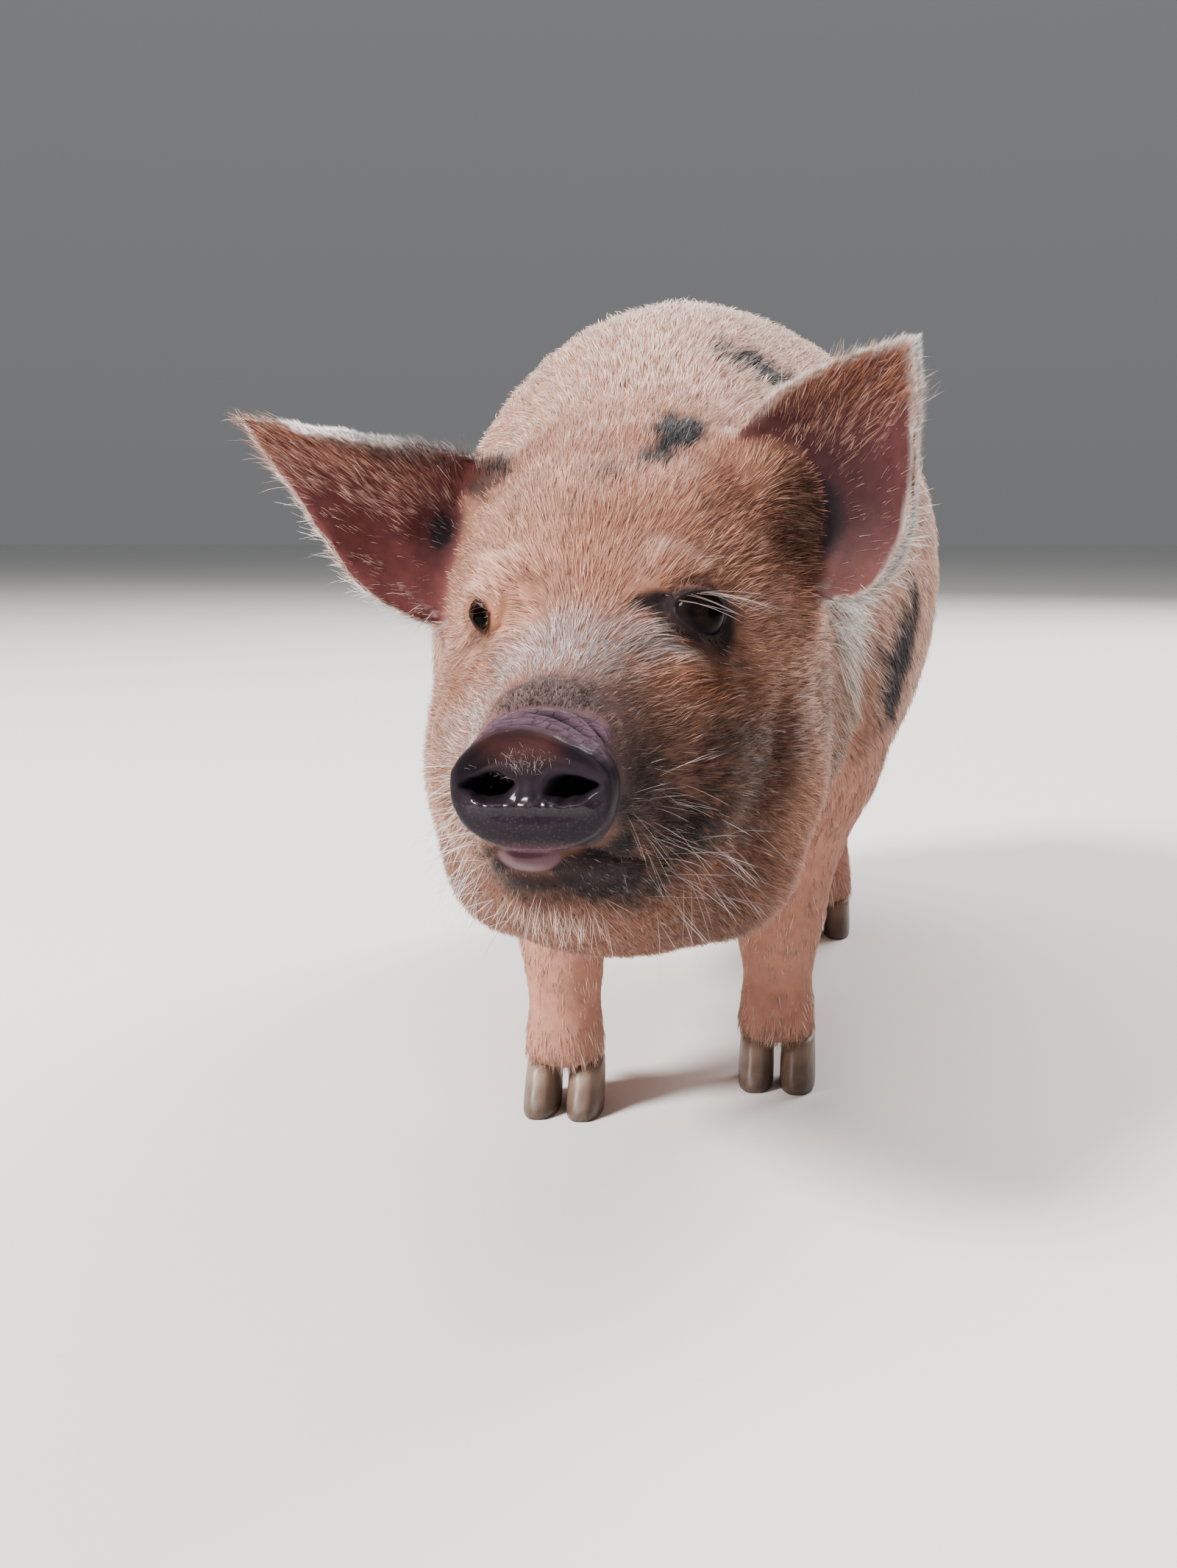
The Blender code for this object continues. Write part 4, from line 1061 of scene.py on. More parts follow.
def makeSkinMaterial():
    material, tree, shader, place = startMaterial("pigSkin")
    look = skinLook
    wet, fold, pore = (attribute(tree, name) for name in ("wet", "fold", "pore"))
    base = mottled(tree, attribute(tree, "tint", "Color"), place, look["mottleSize"], look["mottleAmount"])
    pores = addNode(tree, "ShaderNodeTexVoronoi", {"Vector": place, "Scale": look["discPoreScale"]})
    poreSpot = ramp(tree, pores.outputs["Distance"], 0.15, 0.45)
    poreTint = mixColour(tree, "MIX", poreSpot, (3.0, 2.7, 3.1), (0.85, 0.85, 0.85))
    poreShare = maths(tree, "MULTIPLY", pore, look["discPoreShare"])
    speckled = mixColour(tree, "MIX", poreShare, base, mixColour(tree, "MULTIPLY", 1.0, base, poreTint))
    # fine cracks in the folds over the muzzle, darkened with painted shade
    narrow = vectorMaths(tree, "MULTIPLY", place, look["crackStretch"])
    wander = addNode(tree, "ShaderNodeTexNoise", {"Vector": place, "Scale": 240.0, "Detail": 2.0})
    bent = vectorMaths(tree, "MULTIPLY_ADD", wander.outputs["Color"], look["crackWander"], narrow)
    cracks = addNode(tree, "ShaderNodeTexVoronoi", feature="DISTANCE_TO_EDGE")
    fill(tree, cracks, {"Vector": bent, "Scale": look["crackScale"]})
    uncracked = ramp(tree, cracks.outputs["Distance"], 0.0, 0.10)
    crackShade = maths(tree, "MULTIPLY", maths(tree, "SUBTRACT", 1.0, uncracked), fold)
    colour = mixColour(tree, "MULTIPLY", maths(tree, "MULTIPLY", crackShade, 0.6), speckled, look["crackShadeTint"])
    noise = addNode(tree, "ShaderNodeTexNoise", {"Vector": place, "Scale": look["poreScale"], "Detail": 3.0})
    noise = noise.outputs["Fac"]
    height = maths(tree, "ADD", maths(tree, "MULTIPLY", noise, 0.35),
                   maths(tree, "MULTIPLY", poreSpot, maths(tree, "MULTIPLY", pore, 0.3)))
    height = maths(tree, "SUBTRACT", height, maths(tree, "MULTIPLY", crackShade, 1.2))
    rough = ramp(tree, wet, 0.0, 1.0, look["dryRough"], look["wetRough"])
    uneven = maths(tree, "MULTIPLY", maths(tree, "SUBTRACT", noise, 0.5), 0.25)
    fill(tree, shader, {
        "Base Color": colour, "Normal": bumped(tree, height, 0.40, look["bump"]),
        "Roughness": maths(tree, "ADD", rough, uneven), "Specular IOR Level": look["shine"],
        "Coat Weight": wet, "Coat Roughness": look["filmRough"], "Coat IOR": look["filmIor"]})
    return material


coatLook = {
    # root: partly the hair's own darker base, partly painted shade deep in the coat
    "rough": 0.46, "darkest": 0.36, "lightest": 1.62, "root": (0.42, 0.29, 0.23), "tip": (1.24, 1.31, 1.37),
    "shine": 0.18, "mottleSize": 70.0, "mottleAmount": 0.16,
}


def makeCoatMaterial():
    material, tree, shader, place = startMaterial("pigCoat")
    look = coatLook
    tone = attribute(tree, "tone")
    base = mottled(tree, attribute(tree, "tint", "Color"), place, look["mottleSize"], look["mottleAmount"])
    gain = ramp(tree, tone, 0.0, 1.0, look["darkest"], look["lightest"])
    # darker towards the roots, partly painted shade deep in the coat, and paler at the tips
    ends = mixColour(tree, "MIX", ramp(tree, attribute(tree, "along"), 0.0, 0.8), look["root"], look["tip"])
    colour = mixColour(tree, "MULTIPLY", 1.0, mixColour(tree, "MULTIPLY", 1.0, base, gain), ends)
    fill(tree, shader, {
        "Base Color": colour, "Specular IOR Level": look["shine"],
        "Roughness": ramp(tree, tone, 0.0, 1.0, look["rough"] + 0.08, look["rough"] - 0.06)})
    return material


def writeAttribute(mesh, name, kind, values):
    layer = mesh.attributes.new(name, kind, "POINT")
    if kind == "FLOAT_COLOR":
        values = np.hstack([values, np.ones((len(values), 1))])
        layer.data.foreach_set("color", values.ravel())
    else:
        layer.data.foreach_set("value", values.ravel())


def finishSkin():
    skinMesh.name = "skin"
    skin = newObject("skin", skinMesh)
    writeAttribute(skinMesh, "tint", "FLOAT_COLOR", skinTint)
    for name, values in (("wet", skinWet), ("fold", masks["fold"]), ("pore", masks["pore"])):
        writeAttribute(skinMesh, name, "FLOAT", values)
    skinMesh.materials.clear()
    skinMesh.materials.append(makeSkinMaterial())
    smoothFaces(skinMesh)
    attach(skin, "root")
    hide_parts(*fleshNodes)


finishSkin()
print("skin finished:", len(skinMesh.polygons), "faces")

# lie of the coat: direction, length, width, density and lift at every point of the skin
legAims = {"foreleg": (0.0, 0.22, -1.0), "hindleg": (0.0, 0.30, -1.0)}
tailLine = (
    (0.0, 0.350, 0.322), (0.006, 0.366, 0.296), (0.010, 0.370, 0.268), (0.006, 0.366, 0.240),
    (-0.004, 0.358, 0.190),
)


def coatFlow():
    x, y, z = skinHead.T
    ahead = np.zeros((len(x), 3))
    ahead[:, 1] = 1.0
    ahead[:, 2] = -0.30 * ease(z, 10, -45) - 0.10 * ease(np.abs(x), 20, 60)
    ahead[:, 0] = np.sign(x) * 0.42 * ease(z, 0, 40) * ease(np.abs(x), 2, 18) * ease(y, 130, 70)
    for s in (-1, 1):  # round the eyes
        d, r, along, high = eyeAngles(skinHead, s)
        nearEye = (ease(r, 34, 14) * ease(s * x, 6, 16))[:, None]
        _, back, up = eyeAxes(s)
        ahead = mixed(ahead, back + up * np.clip(high / 34, -0.7, 1.1)[:, None], 0.8 * nearEye)
    flow = ahead @ headTurn.T
    droop = -0.15 - 0.55 * (1 - np.abs(skinUp)) * ease(skinUp, 0.8, 0.1)
    bodyFlow = np.stack([np.zeros(len(x)), np.ones(len(x)), droop], 1)
    bodyFlow[:, 2] -= 1.1 * ease(skinPlaces[:, 1], 0.22, 0.36)
    flow = mixed(flow, bodyFlow, bodyMask[:, None])
    for name in legNodes:
        mine = regionMask(name)
        share = (mine * (0.35 + 0.65 * ease(skinHigh, 0.22, 0.12)))[:, None]
        flow = mixed(flow, np.array(legAims[kindOf(name)]), share)
        flow = np.where((mine > 0.5)[:, None] & (share < 0.999), flow * 0.5 + bodyFlow * 0.5 * (1 - share), flow)
    line = np.array(tailLine)
    nearest = np.argmin(norm(skinPlaces[:, None, :] - line[None, :-1, :]), axis=1)
    flow = np.where(regionMask("tail")[:, None] > 0.5, unit(line[1:] - line[:-1])[nearest], flow)
    for name, (root, top, tip) in earSetup.items():
        root = np.array(root)
        aim = unit(unit(np.array(tip) - root) * 0.55 + unit(skinPlaces - root) * 0.75)
        flow = np.where(regionMask(name)[:, None] > 0.5, aim, flow)
    flow = spread(unit(flow), skinEdges, 14)
    flow += 0.16 * (np.stack([softNoise(skinPlaces, 0.020, k) for k in (21, 22, 23)], 1) - 0.5)
    flow -= skinNormals * np.sum(flow * skinNormals, 1, keepdims=True)
    return unit(flow)


def coatMeasures():
    x, y, z = skinHead.T
    rounds = (18, 12, 12, 5, 5)  # how softly each column passes from region to region
    length, width, lift, bent, straight = (
        spread(planColumn(skinRegion, 2 + k), skinEdges, count) for k, count in enumerate(rounds)
    )
    # the muzzle's short hair, the eyes, the grey hump over the snout, brows and chin
    short = headMask * ease(y, 60, 14) * (1 - 0.6 * ease(np.abs(x), 18, 30))
    length = mixed(length, 3.0 + 0.06 * y, short)
    width = width * (1 - 0.22 * short)
    amount = 1 + 0.45 * short
    length *= 1 - 0.5 * masks["eyeDark"]
    leftEye, rightEye = ellipsoid((28, 87, 55), (12, 12, 9)), 2.1 * ellipsoid((-31, 85, 51), (8, 9, 10))
    length *= 1 - 0.35 * np.maximum(leftEye, rightEye)
    hump = masks["hump"]
    length = mixed(length, 2.2, 0.85 * hump)
    lift += 16 * hump
    amount *= 1 + 1.7 * hump
    brow = headMask * ellipsoidPair((32, 94, 68), (13, 13, 8))
    length += 3.5 * brow
    lift += 5 * brow
    chin = ellipsoid((0, 34, -50), (34, 26, 14)) * headMask
    length += 1.5 * chin
    lift += 10 * chin
    # the back, the jowl's fold and the ruff behind the ear
    lift += 6 * bodyMask * ease(skinUp, 0.45, 0.85)
    away = lineDistance(np.stack([np.abs(x), y, z], 1), jowlFold)[0]
    lift += 11 * headMask * hill(away, 12.0)  # so that its hairs clear the far bank
    length += 7 * ellipsoidWorld((0.086, -0.150, 0.225), (0.030, 0.045, 0.060))
    # the ears' hollow sides and rims
    length = mixed(length, 7.5 + 5.0 * earUpper, earHollow)
    width = mixed(width, 0.165, earHollow)
    amount *= 1 - earHollow * (0.84 - 1.35 * earUpper)
    lift += 1 * earHollow
    length = mixed(length, 4.8, earRim)
    width = mixed(width, 0.22, earRim)
    lift = mixed(lift, 46, earRim)
    amount *= 1 - ease(skinBare, 0.25, 0.8)
    # the legs
    coronet = legMask * ease(skinHigh, 0.052, 0.034)
    length = mixed(length, 11.0, coronet)
    lift = mixed(lift, 9, coronet)
    amount *= 1 + 0.8 * coronet
    length *= 1 - 0.30 * (legMask * ease(skinHigh, 0.11, 0.06) * (1 - coronet))
    amount *= 1 - ease(skinUp, -0.6, -0.9) * ease(skinHigh, 0.04, 0.03)
    straight = mixed(straight * amount, 620, earRim)
    return length / 1000.0, width / 1000.0, np.radians(lift), bent * amount * (1 - earRim), straight


flowField = coatFlow()
hairLength, hairWidth, hairLift, bentDense, straightDense = coatMeasures()
print("lie of the coat worked out")


skinMesh.calc_loop_triangles()
triangles = readArray(skinMesh.loop_triangles, "vertices", 3, np.int64)
cornerPlaces = skinPlaces[triangles]
edgePair = (cornerPlaces[:, 1] - cornerPlaces[:, 0], cornerPlaces[:, 2] - cornerPlaces[:, 0])
triangleAreas = 0.5 * norm(np.cross(*edgePair))

# each part of the coat has a strip of the unwrap: round its own axis one way, along it the other
unwrapPlan = {
    "trunk": ("y", (0.00, 0.00, 0.62, 0.55)), "neck": ("y", (0.64, 0.00, 0.34, 0.16)),
    "head": ("y", (0.00, 0.57, 0.62, 0.41)), "lower_jaw": ("y", (0.64, 0.18, 0.34, 0.08)),
    "snout_disc": ("y", (0.64, 0.27, 0.10, 0.05)), "tail": ("z", (0.76, 0.27, 0.20, 0.08)),
    "ear_left": ("front", (0.64, 0.37, 0.16, 0.15)), "ear_right": ("front", (0.82, 0.37, 0.16, 0.15)),
    "foreleg_left": ("z", (0.64, 0.54, 0.16, 0.20)), "foreleg_right": ("z", (0.82, 0.54, 0.16, 0.20)),
    "hindleg_left": ("z", (0.64, 0.76, 0.16, 0.22)), "hindleg_right": ("z", (0.82, 0.76, 0.16, 0.22)),
}


def unwrapRoots(roots, owners):
    uv = np.zeros((len(roots), 2))
    for index, name in enumerate(fleshNodes):
        mine = owners == index
        if not mine.any():
            continue
        low, high = (np.array(v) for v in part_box(name))
        middle = (low + high) / 2
        axis, (left, bottom, wide, tall) = unwrapPlan[name]
        p = roots[mine]
        share = (p - low) / (high - low)
        if axis == "front":  # hollow side and outer side of the ear lie beside each other
            u = np.where(p[:, 1] > middle[1], 0.5 + 0.5 * share[:, 0], 0.5 * share[:, 0])
            v = share[:, 2]
        else:
            down, up = (2, 1) if axis == "y" else (1, 2)
            u = np.arctan2(p[:, 0] - middle[0], -(p[:, down] - middle[down])) / (2 * math.pi) + 0.5
            v = share[:, up]
        uv[mine] = np.stack([left + wide * np.clip(u, 0, 1), bottom + tall * np.clip(v, 0, 1)], 1)
    return 0.005 + 0.985 * uv


def pickRoots(weights, amount, rng):  # random places on the skin, by weight per area
    share = triangleAreas * weights[triangles].mean(1)
    total = share.cumsum()
    chosen = np.searchsorted(total, rng.random(amount) * total[-1])
    a, b = rng.random(amount), rng.random(amount)
    flip = a + b > 1
    a[flip], b[flip] = 1 - a[flip], 1 - b[flip]
    return triangles[chosen], np.stack([1 - a - b, a, b], 1)


def blend(values, corner, share):
    if values.ndim == 1:
        return (values[corner] * share).sum(1)
    return (values[corner] * share[:, :, None]).sum(1)


def raised(way, normal, angle):  # a way along the skin, lifted off it
    return way * np.cos(angle)[:, None] + normal * np.sin(angle)[:, None]


def nearestLeader(roots, rng, every):  # the hair that leads each hair's tuft
    leaders = rng.choice(len(roots), max(1, len(roots) // every), replace=False)
    tree = KDTree(len(leaders))
    for k, i in enumerate(leaders):
        tree.insert(Vector(roots[i]), k)
    tree.balance()
    return np.array([leaders[tree.find(Vector(p))[1]] for p in roots])


strandSetup = {
    "sink": 0.0004, "taper": 0.56, "flat": 0.55, "tuftEvery": 9, "tuftPull": 0.34, "stray": 0.07,
    "strayPale": 0.38, "bend": 0.30, "uvPatch": 0.003,
    "straightLift": 0.62, "straightLength": 0.86, "straightTone": 0.8,
}


def growCoat(corner, share, rng, bent=True, wild=0.15):
    e = strandSetup
    roots = blend(skinPlaces, corner, share)
    normal = unit(blend(skinNormals, corner, share))
    flow = blend(flowField, corner, share)
    count = len(roots)
    mine = nearestLeader(roots, rng, e["tuftEvery"])
    towards = e["tuftPull"] * (roots[mine] - roots)
    angle = (rng.random(count)[mine] - 0.5) * 2 * wild + (rng.random(count) - 0.5) * 2 * wild
    way = unit(raised(flow, np.cross(normal, flow), angle))
    length = blend(hairLength, corner, share) * (0.70 + 0.5 * rng.random(count))
    width = blend(hairWidth, corner, share) * (0.75 + 0.5 * rng.random(count))
    lift = blend(hairLift, corner, share) * (0.55 + 0.5 * rng.random(count)[mine] + 0.45 * rng.random(count))
    start = roots - normal * e["sink"]
    tint = np.clip(blend(hairTint, corner, share), 0, 1)
    stray = (rng.random(count) < e["stray"])[:, None]
    tint = np.where(stray, mixed(tint, np.array(palette["pale"]), e["strayPale"]), tint)
    tone = rng.random(count) * 0.7 + rng.random(count)[mine] * 0.3
    if bent:
        half = (length * 0.5)[:, None]
        middle = start + raised(way, normal, lift) * half + towards * 0.25
        tip = middle + raised(way, normal, lift * e["bend"]) * half + towards * 0.75
        path = np.stack([start, middle, tip], 1)
    else:
        lift, length, tone = lift * e["straightLift"], length * e["straightLength"], tone * e["straightTone"]
        path = np.stack([start, start + raised(way, normal, lift) * length[:, None] + towards], 1)
    return dict(
        path=path, side=unit(np.cross(normal, way)), normal=normal, width=width, tint=tint, tone=tone,
        uv=unwrapRoots(roots, skinRegion[corner[:, 0]]),
    )


def strandMesh(name, s):  # closed three-sided spikes along their paths, as one mesh
    path = s["path"]
    count, rings = len(path), path.shape[1] - 1
    points = 3 * rings + 1
    corners = np.empty((count, points, 3))
    wide, thick = s["side"], s["normal"] * strandSetup["flat"]
    patch, along = np.zeros((points, 2)), np.ones(points)
    for k in range(rings):
        reach = (0.5 * (1 - strandSetup["taper"] * (k / rings) ** 2)) * s["width"]
        for a, angle in enumerate((210, 330, 90)):
            c, q = math.cos(math.radians(angle)), math.sin(math.radians(angle))
            corners[:, 3 * k + a] = path[:, k] + (wide * c + thick * q) * reach[:, None]
            patch[3 * k + a] = ((0, 1, 0.5)[a] - 0.5, (k + (0, 0, 0.3)[a]) / rings - 0.5)
            along[3 * k + a] = k / rings
    corners[:, -1] = path[:, -1]
    patch[-1] = (0, 0.5)
    faces, sizes = [0, 2, 1], [3]
    for k in range(rings):
        for a, b in ((0, 1), (1, 2), (2, 0)):
            last = k == rings - 1
            faces += [3 * k + a, 3 * k + b] + ([3 * rings] if last else [3 * k + 3 + b, 3 * k + 3 + a])
            sizes.append(3 if last else 4)
    mesh = bpy.data.meshes.new(name)
    mesh.vertices.add(count * points)
    mesh.vertices.foreach_set("co", corners.ravel())
    loops = (np.array(faces)[None, :] + (np.arange(count) * points)[:, None]).ravel()
    mesh.loops.add(len(loops))
    mesh.loops.foreach_set("vertex_index", loops)
    sizes = np.tile(sizes, count)
    mesh.polygons.add(len(sizes))
    mesh.polygons.foreach_set("loop_start", np.concatenate([[0], sizes.cumsum()[:-1]]))
    smoothFaces(mesh)
    mesh.update(calc_edges=True)
    writeAttribute(mesh, "tint", "FLOAT_COLOR", np.repeat(s["tint"], points, axis=0))
    writeAttribute(mesh, "tone", "FLOAT", np.repeat(s["tone"], points))
    writeAttribute(mesh, "along", "FLOAT", np.tile(along, count))
    places = s["uv"][:, None, :] + patch[None, :, :] * strandSetup["uvPatch"]
    layer = mesh.uv_layers.new(name="OFBake")
    layer.data.foreach_set("uv", places.reshape(-1, 2)[loops].ravel())
    return mesh


coatMaterial = makeCoatMaterial()


def addCoatPiece(name, s):
    mesh = strandMesh(name, s)
    mesh.materials.append(coatMaterial)
    piece = newObject(name, mesh)
    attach(piece, "root")


def joinStrands(parts):
    return {key: np.concatenate([p[key] for p in parts]) for key in parts[0]}


# where each piece of the coat is, and how many faces one piece may have
coatSetup = {
    "pieceLimit": 190000, "firstSeed": 100, "seedStep": 97,
    "zones": {
        "head": (*headNodes, "snout_disc"), "neck": ("neck",), "trunk": ("trunk",), "ears": earNodes,
        "legs": (*legNodes, "tail"),
    },
}


def makeCoat():
    total = 0
    kinds = (("under", False, straightDense, 4), ("over", True, bentDense, 10))
    for zone, regionNames in coatSetup["zones"].items():
        for kind, bent, dense, faceCount in kinds:
            rng = np.random.default_rng(coatSetup["firstSeed"] + total % coatSetup["seedStep"])
            weights = dense * regionMask(*regionNames)
            amount = int((triangleAreas * weights[triangles].mean(1)).sum() * 10000)
            corner, share = pickRoots(weights, amount, rng)
            strands = growCoat(corner, share, rng, bent)
            order = np.argsort(blend(skinPlaces, corner, share)[:, 1], kind="stable")
            pieces = math.ceil(amount * faceCount / coatSetup["pieceLimit"])
            for k, chosen in enumerate(np.array_split(order, pieces)):
                picked = {key: value[chosen] for key, value in strands.items()}
                addCoatPiece(f"coat_{zone}_{kind}_{k + 1}", picked)
            total += amount
            print("coat of the", zone, kind, amount, "hairs")
    return total


hairCount = makeCoat()
print("coat made:", hairCount, "hairs")

# whiskers, lashes and the long hairs of ears and tail: curved strands of several rings
def rooted(weights, count, rng, wild):  # strands at random places, the ways they lie, and their normals
    s = growCoat(*pickRoots(weights, count, rng), rng, wild=wild)
    return s, np.cross(s["side"], s["normal"]), s["normal"]


def curved(s, rng, first, drop, length, width, tint, rings=4):
    count = len(s["normal"])
    steps = np.linspace(0, 1, rings + 1)[None, :, None]
    run = first[:, None, :] * steps + drop[:, None, :] * steps ** 2
    s["path"] = s["path"][:, :1] + run * length[:, None, None]
    s["width"] = width * (0.7 + 0.5 * rng.random(count))
    if tint:
        s["tint"] = np.array(palette[tint]) * (0.75 + 0.25 * rng.random(count))[:, None]
    return s


# middle and half sizes of the place, how many, length, width, lift in degrees, tint, and nodes if not the head's
whiskerSetup = {
    "chin": ((-6, 30, -51), (28, 22, 10), 110, 0.012, 0.00019, 42, "cream"),
    "muzzle": ((35, 34, -14), (15, 24, 24), 40, 0.018, 0.00014, 34, "pale"),
    "muzzleRight": ((-35, 34, -14), (15, 24, 24), 46, 0.024, 0.00020, 46, "white"),
    "jaw": ((44, 74, -44), (24, 30, 26), 50, 0.022, 0.00020, 36, "pale"),
    "jawRight": ((-44, 74, -44), (24, 30, 26), 60, 0.024, 0.00020, 40, "white"),
    "brow": ((33, 92, 66), (12, 12, 7), 18, 0.015, 0.00017, 36, "cream"),
    "browRight": ((-33, 92, 66), (12, 12, 7), 14, 0.012, 0.00016, 34, "cream"),
    "nape": ((94, 192, 56), (18, 30, 26), 420, 0.024, 0.00030, 20, "white", "neck", "trunk", "head"),
    "disc": ((-2, 5, 7.0), (18, 10, 5.5), 150, 0.0036, 0.00009, 50, "pale", "snout_disc"),
}


def makeWhiskers():
    rng = np.random.default_rng(7)
    parts = []
    for middle, sizes, count, length, width, lift, tint, *where in whiskerSetup.values():
        onDisc = where == ["snout_disc"]
        weights = ellipsoid(middle, sizes) * regionMask(*(where or headNodes))
        weights *= masks["disc"] if onDisc else (skinBare < 0.02) * ease(skinHead[:, 1], 17, 22)
        s, way, n = rooted(weights, count, rng, 0.5)
        lifts = math.radians(lift) * (0.6 + 0.7 * rng.random(count))
        if onDisc:
            way = unit(np.array((0, 0, 1.0)) + rng.normal(0, 0.5, (count, 3)))
        drop = way * 0.25 + np.array((0, 0, -0.16)) + rng.normal(0, 0.05, (count, 3))
        lengths = length * (0.55 + 0.7 * rng.random(count))
        parts.append(curved(s, rng, raised(way, n, lifts), drop, lengths, width, tint))
    addCoatPiece("whiskers", joinStrands(parts))


# how many, length, width and tint of the upper lashes of each eye, then of the lower ones
lashSetup = {1: (20, 22.0, 0.00014, "pale"), -1: (9, 11.0, 0.00013, "rust"), "lower": (12, 4.5, 0.00017, "mauve")}


def makeLashes():
    rng = np.random.default_rng(8)
    parts = []
    power = eyeSetup["roundness"]
    for s in (-1, 1):
        ahead, back, up = eyeAxes(s)
        outward = unit(ahead * 0.77 + back * 0.66)
        opening = eyeOpening[s]
        for upper in (True, False):
            count, length, width, tint = lashSetup[s if upper else "lower"]
            t = np.linspace(-0.97, 0.60, count) if upper else np.linspace(-0.3, 0.9, count)
            t = np.clip(t + rng.normal(0, 0.03, count), -0.98, 0.98)
            tall = opening["upper"] if upper else -opening["lower"]
            wide = np.where(t > 0, opening["outer"], opening["inner"])
            high = tall * (1 - np.abs(t) ** power) ** (1 / power) * 1.10
            a, e = np.radians(t * wide), np.radians(high)
            d = ahead * (np.cos(a) * np.cos(e))[:, None] + back * (np.sin(a) * np.cos(e))[:, None]
            d = d + up * np.sin(e)[:, None]
            start = fromHead(eyeMiddle(s) + d * (eyeSetup["radius"] + (1.3 if upper else 0.6)))
            if upper:
                first = unit(outward + d * 0.30 - up * 0.02 + rng.normal(0, 0.11, (count, 3)))
                drop = back * 0.30 + up * (-0.16 + 0.14 * rng.normal(0, 1, count))[:, None]
                lengths = length * (0.5 + 0.8 * rng.random(count)) * (1 - 0.35 * ease(t, 0.0, 0.8))
            else:
                first = unit(d + up * -0.6 + back * 0.5 + rng.normal(0, 0.15, (count, 3)))
                drop = np.tile(back * 0.3, (count, 1))
                lengths = length * (0.6 + 0.6 * rng.random(count))
            strands = dict(
                path=start[:, None, :], side=unit(np.cross(first, d)) @ headTurn.T, normal=d @ headTurn.T,
                width=None, tint=None, tone=0.4 + 0.6 * rng.random(count),
                uv=unwrapRoots(start, np.full(count, fleshNodes.index("head"))),
            )
            parts.append(curved(strands, rng, first @ headTurn.T, drop @ headTurn.T, lengths / 1000, width, tint))
    addCoatPiece("eyelashes", joinStrands(parts))


# how many, length, width, lift in degrees, tint
earHairSetup = {"inside": (300, 0.0105, 0.00017, 17, "cream"), "lower": (130, 0.0110, 0.00020, 36, "white")}


def makeEarHair():  # long sparse pale hairs inside the ears, and longer ones on the lower rim
    rng = np.random.default_rng(9)
    parts = []
    for name in earSetup:
        mine = regionMask(name)
        places = {
            "inside": earHollow * mine * (0.10 + earUpper) * (1 - earRim),
            "lower": earRim * mine * ease(skinHigh, 0.305, 0.26),
        }
        for place, (count, length, width, lift, tint) in earHairSetup.items():
            s, way, n = rooted(places[place], count, rng, 0.35)
            first = raised(way, n, math.radians(lift) * (0.5 + rng.random(count)))
            drop = way * 0.2 - n * 0.40 + np.array((0, 0.12, -0.12)) + rng.normal(0, 0.10, (count, 3))
            parts.append(curved(s, rng, first, drop, length * (0.5 + 0.8 * rng.random(count)), width, tint))
    addCoatPiece("ear_hair", joinStrands(parts))


tasselSetup = {"count": 420, "length": 0.040, "width": 0.0006, "lowest": 0.150}


def makeTassel():
    rng = np.random.default_rng(10)
    count = tasselSetup["count"]
    s, way, n = rooted(regionMask("tail") * ease(skinHigh, 0.26, 0.22), count, rng, 0.3)
    length = tasselSetup["length"] * (0.5 + 0.6 * rng.random(count))
    length = np.minimum(length, (s["path"][:, 0, 2] - tasselSetup["lowest"]) / 1.3)
    first = unit(np.array((0.0, -0.10, -1.0)) + n * 0.30 + rng.normal(0, 0.10, (count, 3)))
    drop = np.array((0, 0, -0.3)) - n * 0.18
    addCoatPiece("tail_tassel", curved(s, rng, first, drop, length, tasselSetup["width"], None))


makeWhiskers()
makeLashes()
makeEarHair()
makeTassel()
print("whiskers, lashes, ear hair and tassel made")

# eyes: smooth balls with a clear bulge in front, coloured round their own axis
eyeLook = {
    "pupil": (0.001, 0.001, 0.001), "iris": (0.008, 0.005, 0.004), "irisEdge": (0.004, 0.003, 0.003),
    "white": (0.010, 0.007, 0.007), "bulge": 0.0005, "rough": 0.10, "shine": 0.03,
}


def makeEyeMaterial():
    material, tree, shader, place = startMaterial("wetEye")
    fromAxis = attribute(tree, "fromAxis")
    colour = eyeLook["pupil"]
    rings = (  # from the pupil outwards: where each begins and ends
        (0.30, 0.36, mottled(tree, eyeLook["iris"], place, 900.0, 0.5)),
        (0.60, 0.72, eyeLook["irisEdge"]), (0.80, 0.92, eyeLook["white"]),
    )
    for low, high, ring in rings:
        colour = mixColour(tree, "MIX", ramp(tree, fromAxis, low, high), colour, ring)
    fill(tree, shader, {
        "Base Color": colour, "Roughness": eyeLook["rough"], "Specular IOR Level": eyeLook["shine"]})
    return material


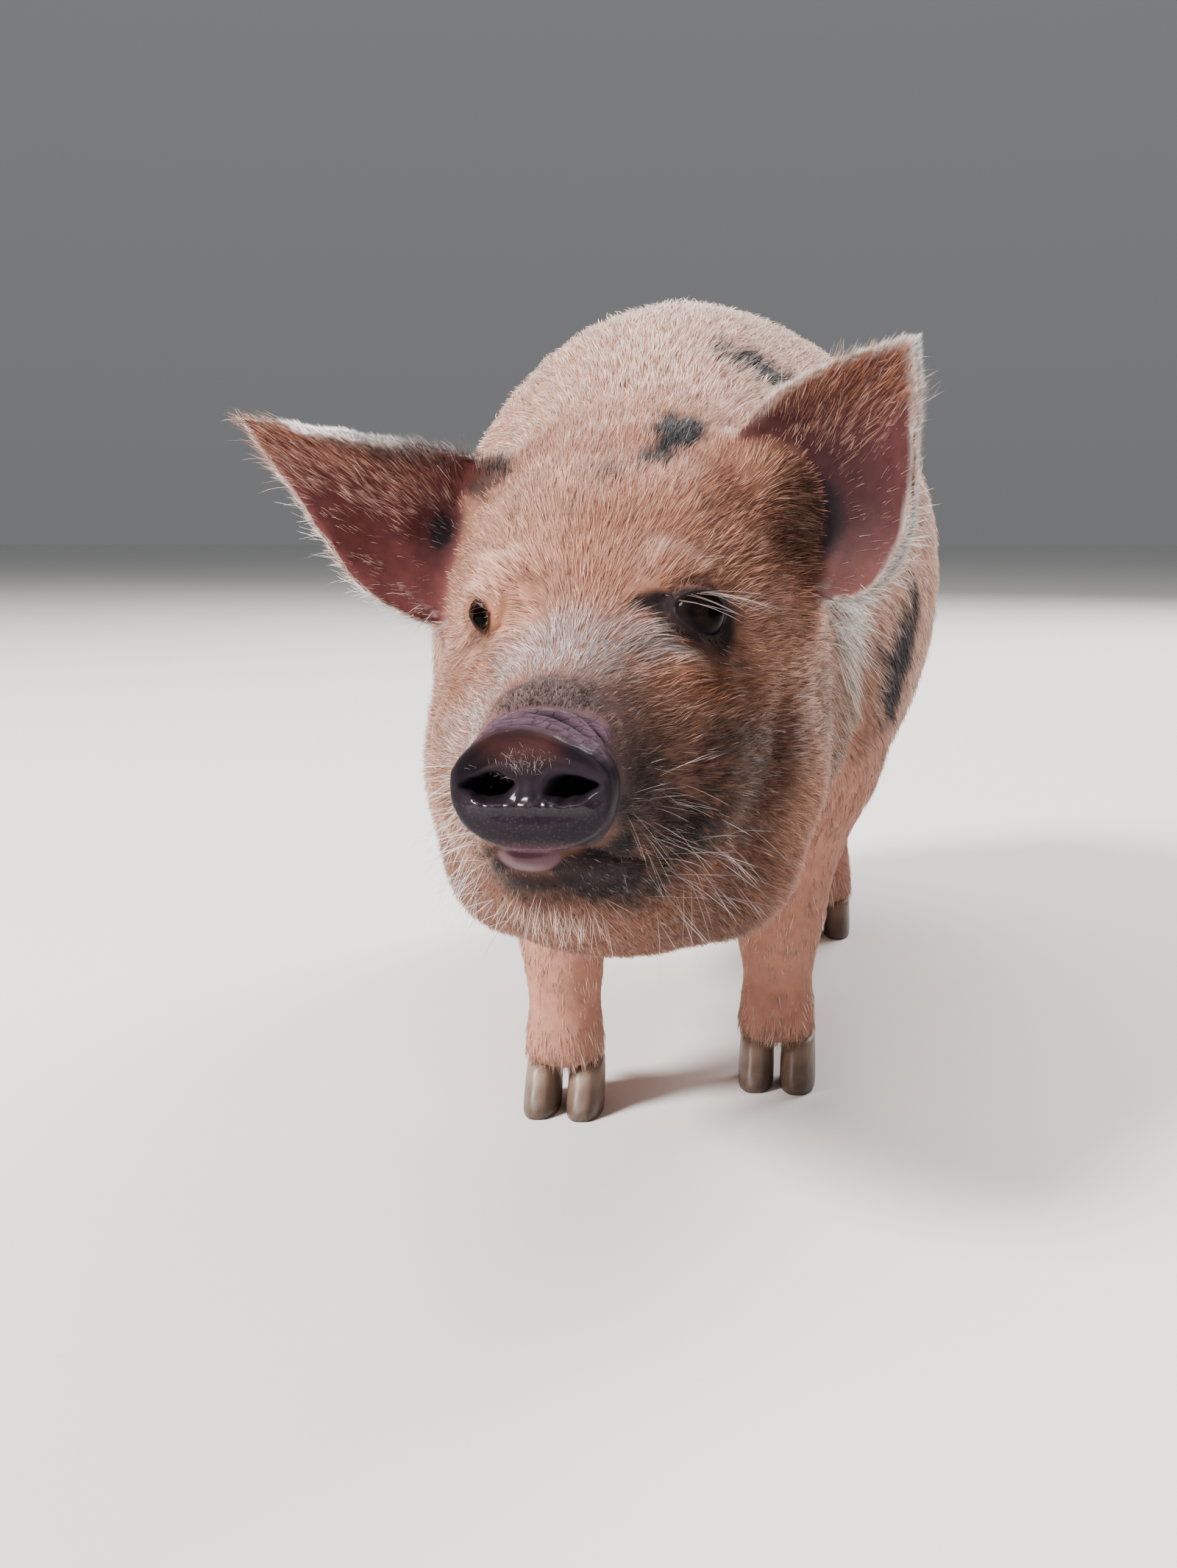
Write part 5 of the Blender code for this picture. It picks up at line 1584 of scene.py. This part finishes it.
def makeEyes():
    material = makeEyeMaterial()
    turn = headFrame.to_3x3()
    for side, name in ((1, "eye_left"), (-1, "eye_right")):
        bm = bmesh.new()
        bmesh.ops.create_icosphere(bm, subdivisions=5, radius=eyeSetup["radius"] / 1000.0)
        ahead, up = (turn @ Vector(eyeAxes(side)[k]) for k in (0, 2))
        middle = Vector(fromHead(eyeMiddle(side)))
        away = []
        for vertex in bm.verts:
            d = vertex.co.normalized()
            bulge = max(0.0, d.dot(ahead) - 0.72) / 0.28
            away.append(math.sqrt(max(0.0, 1 - d.dot(ahead) ** 2) + 0.6 * d.dot(up) ** 2))
            vertex.co += d * eyeLook["bulge"] * bulge * bulge * (3 - 2 * bulge)
            vertex.co += middle
        mesh = fromBmesh(bm, name + "_ball")
        writeAttribute(mesh, "fromAxis", "FLOAT", np.array(away))
        smoothFaces(mesh)
        mesh.materials.append(material)
        ball = newObject(name + "_ball", mesh)
        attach(ball, "root")
        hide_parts(name)


makeEyes()
print("eyes made")

# claws: rounded horn with growth lines, in place of the plain solids
clawLook = {
    "horn": (0.085, 0.055, 0.042), "pale": (0.27, 0.18, 0.13), "lines": (0.5, 0.45, 0.42), "lineShare": 0.30,
    "rough": 0.42, "soleCrease": 0.8, "crease": 0.25,
}


def makeHornMaterial():
    material, tree, shader, place = startMaterial("clawHorn")
    horn = mottled(tree, clawLook["horn"], place, 240.0, 0.5)
    high = addNode(tree, "ShaderNodeSeparateXYZ", {"Vector": place}).outputs["Z"]
    colour = mixColour(tree, "MIX", ramp(tree, high, 0.004, 0.026), horn, clawLook["pale"])
    wave = addNode(
        tree, "ShaderNodeTexWave", {"Vector": place, "Scale": 26.0, "Distortion": 1.2}, bands_direction="Z"
    ).outputs["Fac"]
    lines = mixColour(tree, "MIX", wave, clawLook["lines"], (1, 1, 1))
    fill(tree, shader, {
        "Base Color": mixColour(tree, "MULTIPLY", clawLook["lineShare"], colour, lines),
        "Normal": bumped(tree, wave, 0.35, 0.0004), "Roughness": clawLook["rough"]})
    return material


def makeClaws():
    material = makeHornMaterial()
    for name in sorted(nodes):
        if "claw" not in name:
            continue
        bm = toBmesh(nodes[name].data)
        bmesh.ops.remove_doubles(bm, verts=bm.verts, dist=mergeDistance)
        mesh = fromBmesh(bm)
        plain = newObject(name + "_horn", mesh)
        smooth = plain.modifiers.new("rounded", "SUBSURF")
        smooth.levels = smooth.render_levels = 2
        for edge in mesh.edges:
            edge.use_edge_sharp = False
        sole = (readPlaces(mesh)[readEdges(mesh), 2] < 0.0003).all(1) & (not name.startswith("dewclaw"))
        crease = mesh.attributes.new("crease_edge", "FLOAT", "EDGE")  # the sole stays flat on the floor
        crease.data.foreach_set("value", np.where(sole, clawLook["soleCrease"], clawLook["crease"]))
        rounded = evaluated(plain)
        bpy.data.objects.remove(plain)
        rounded.name = name + "_horn"
        claw = newObject(name + "_horn", rounded)
        rounded.materials.clear()
        rounded.materials.append(material)
        smoothFaces(rounded)
        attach(claw, "root")
        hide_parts(name)


makeClaws()
print("claws made")
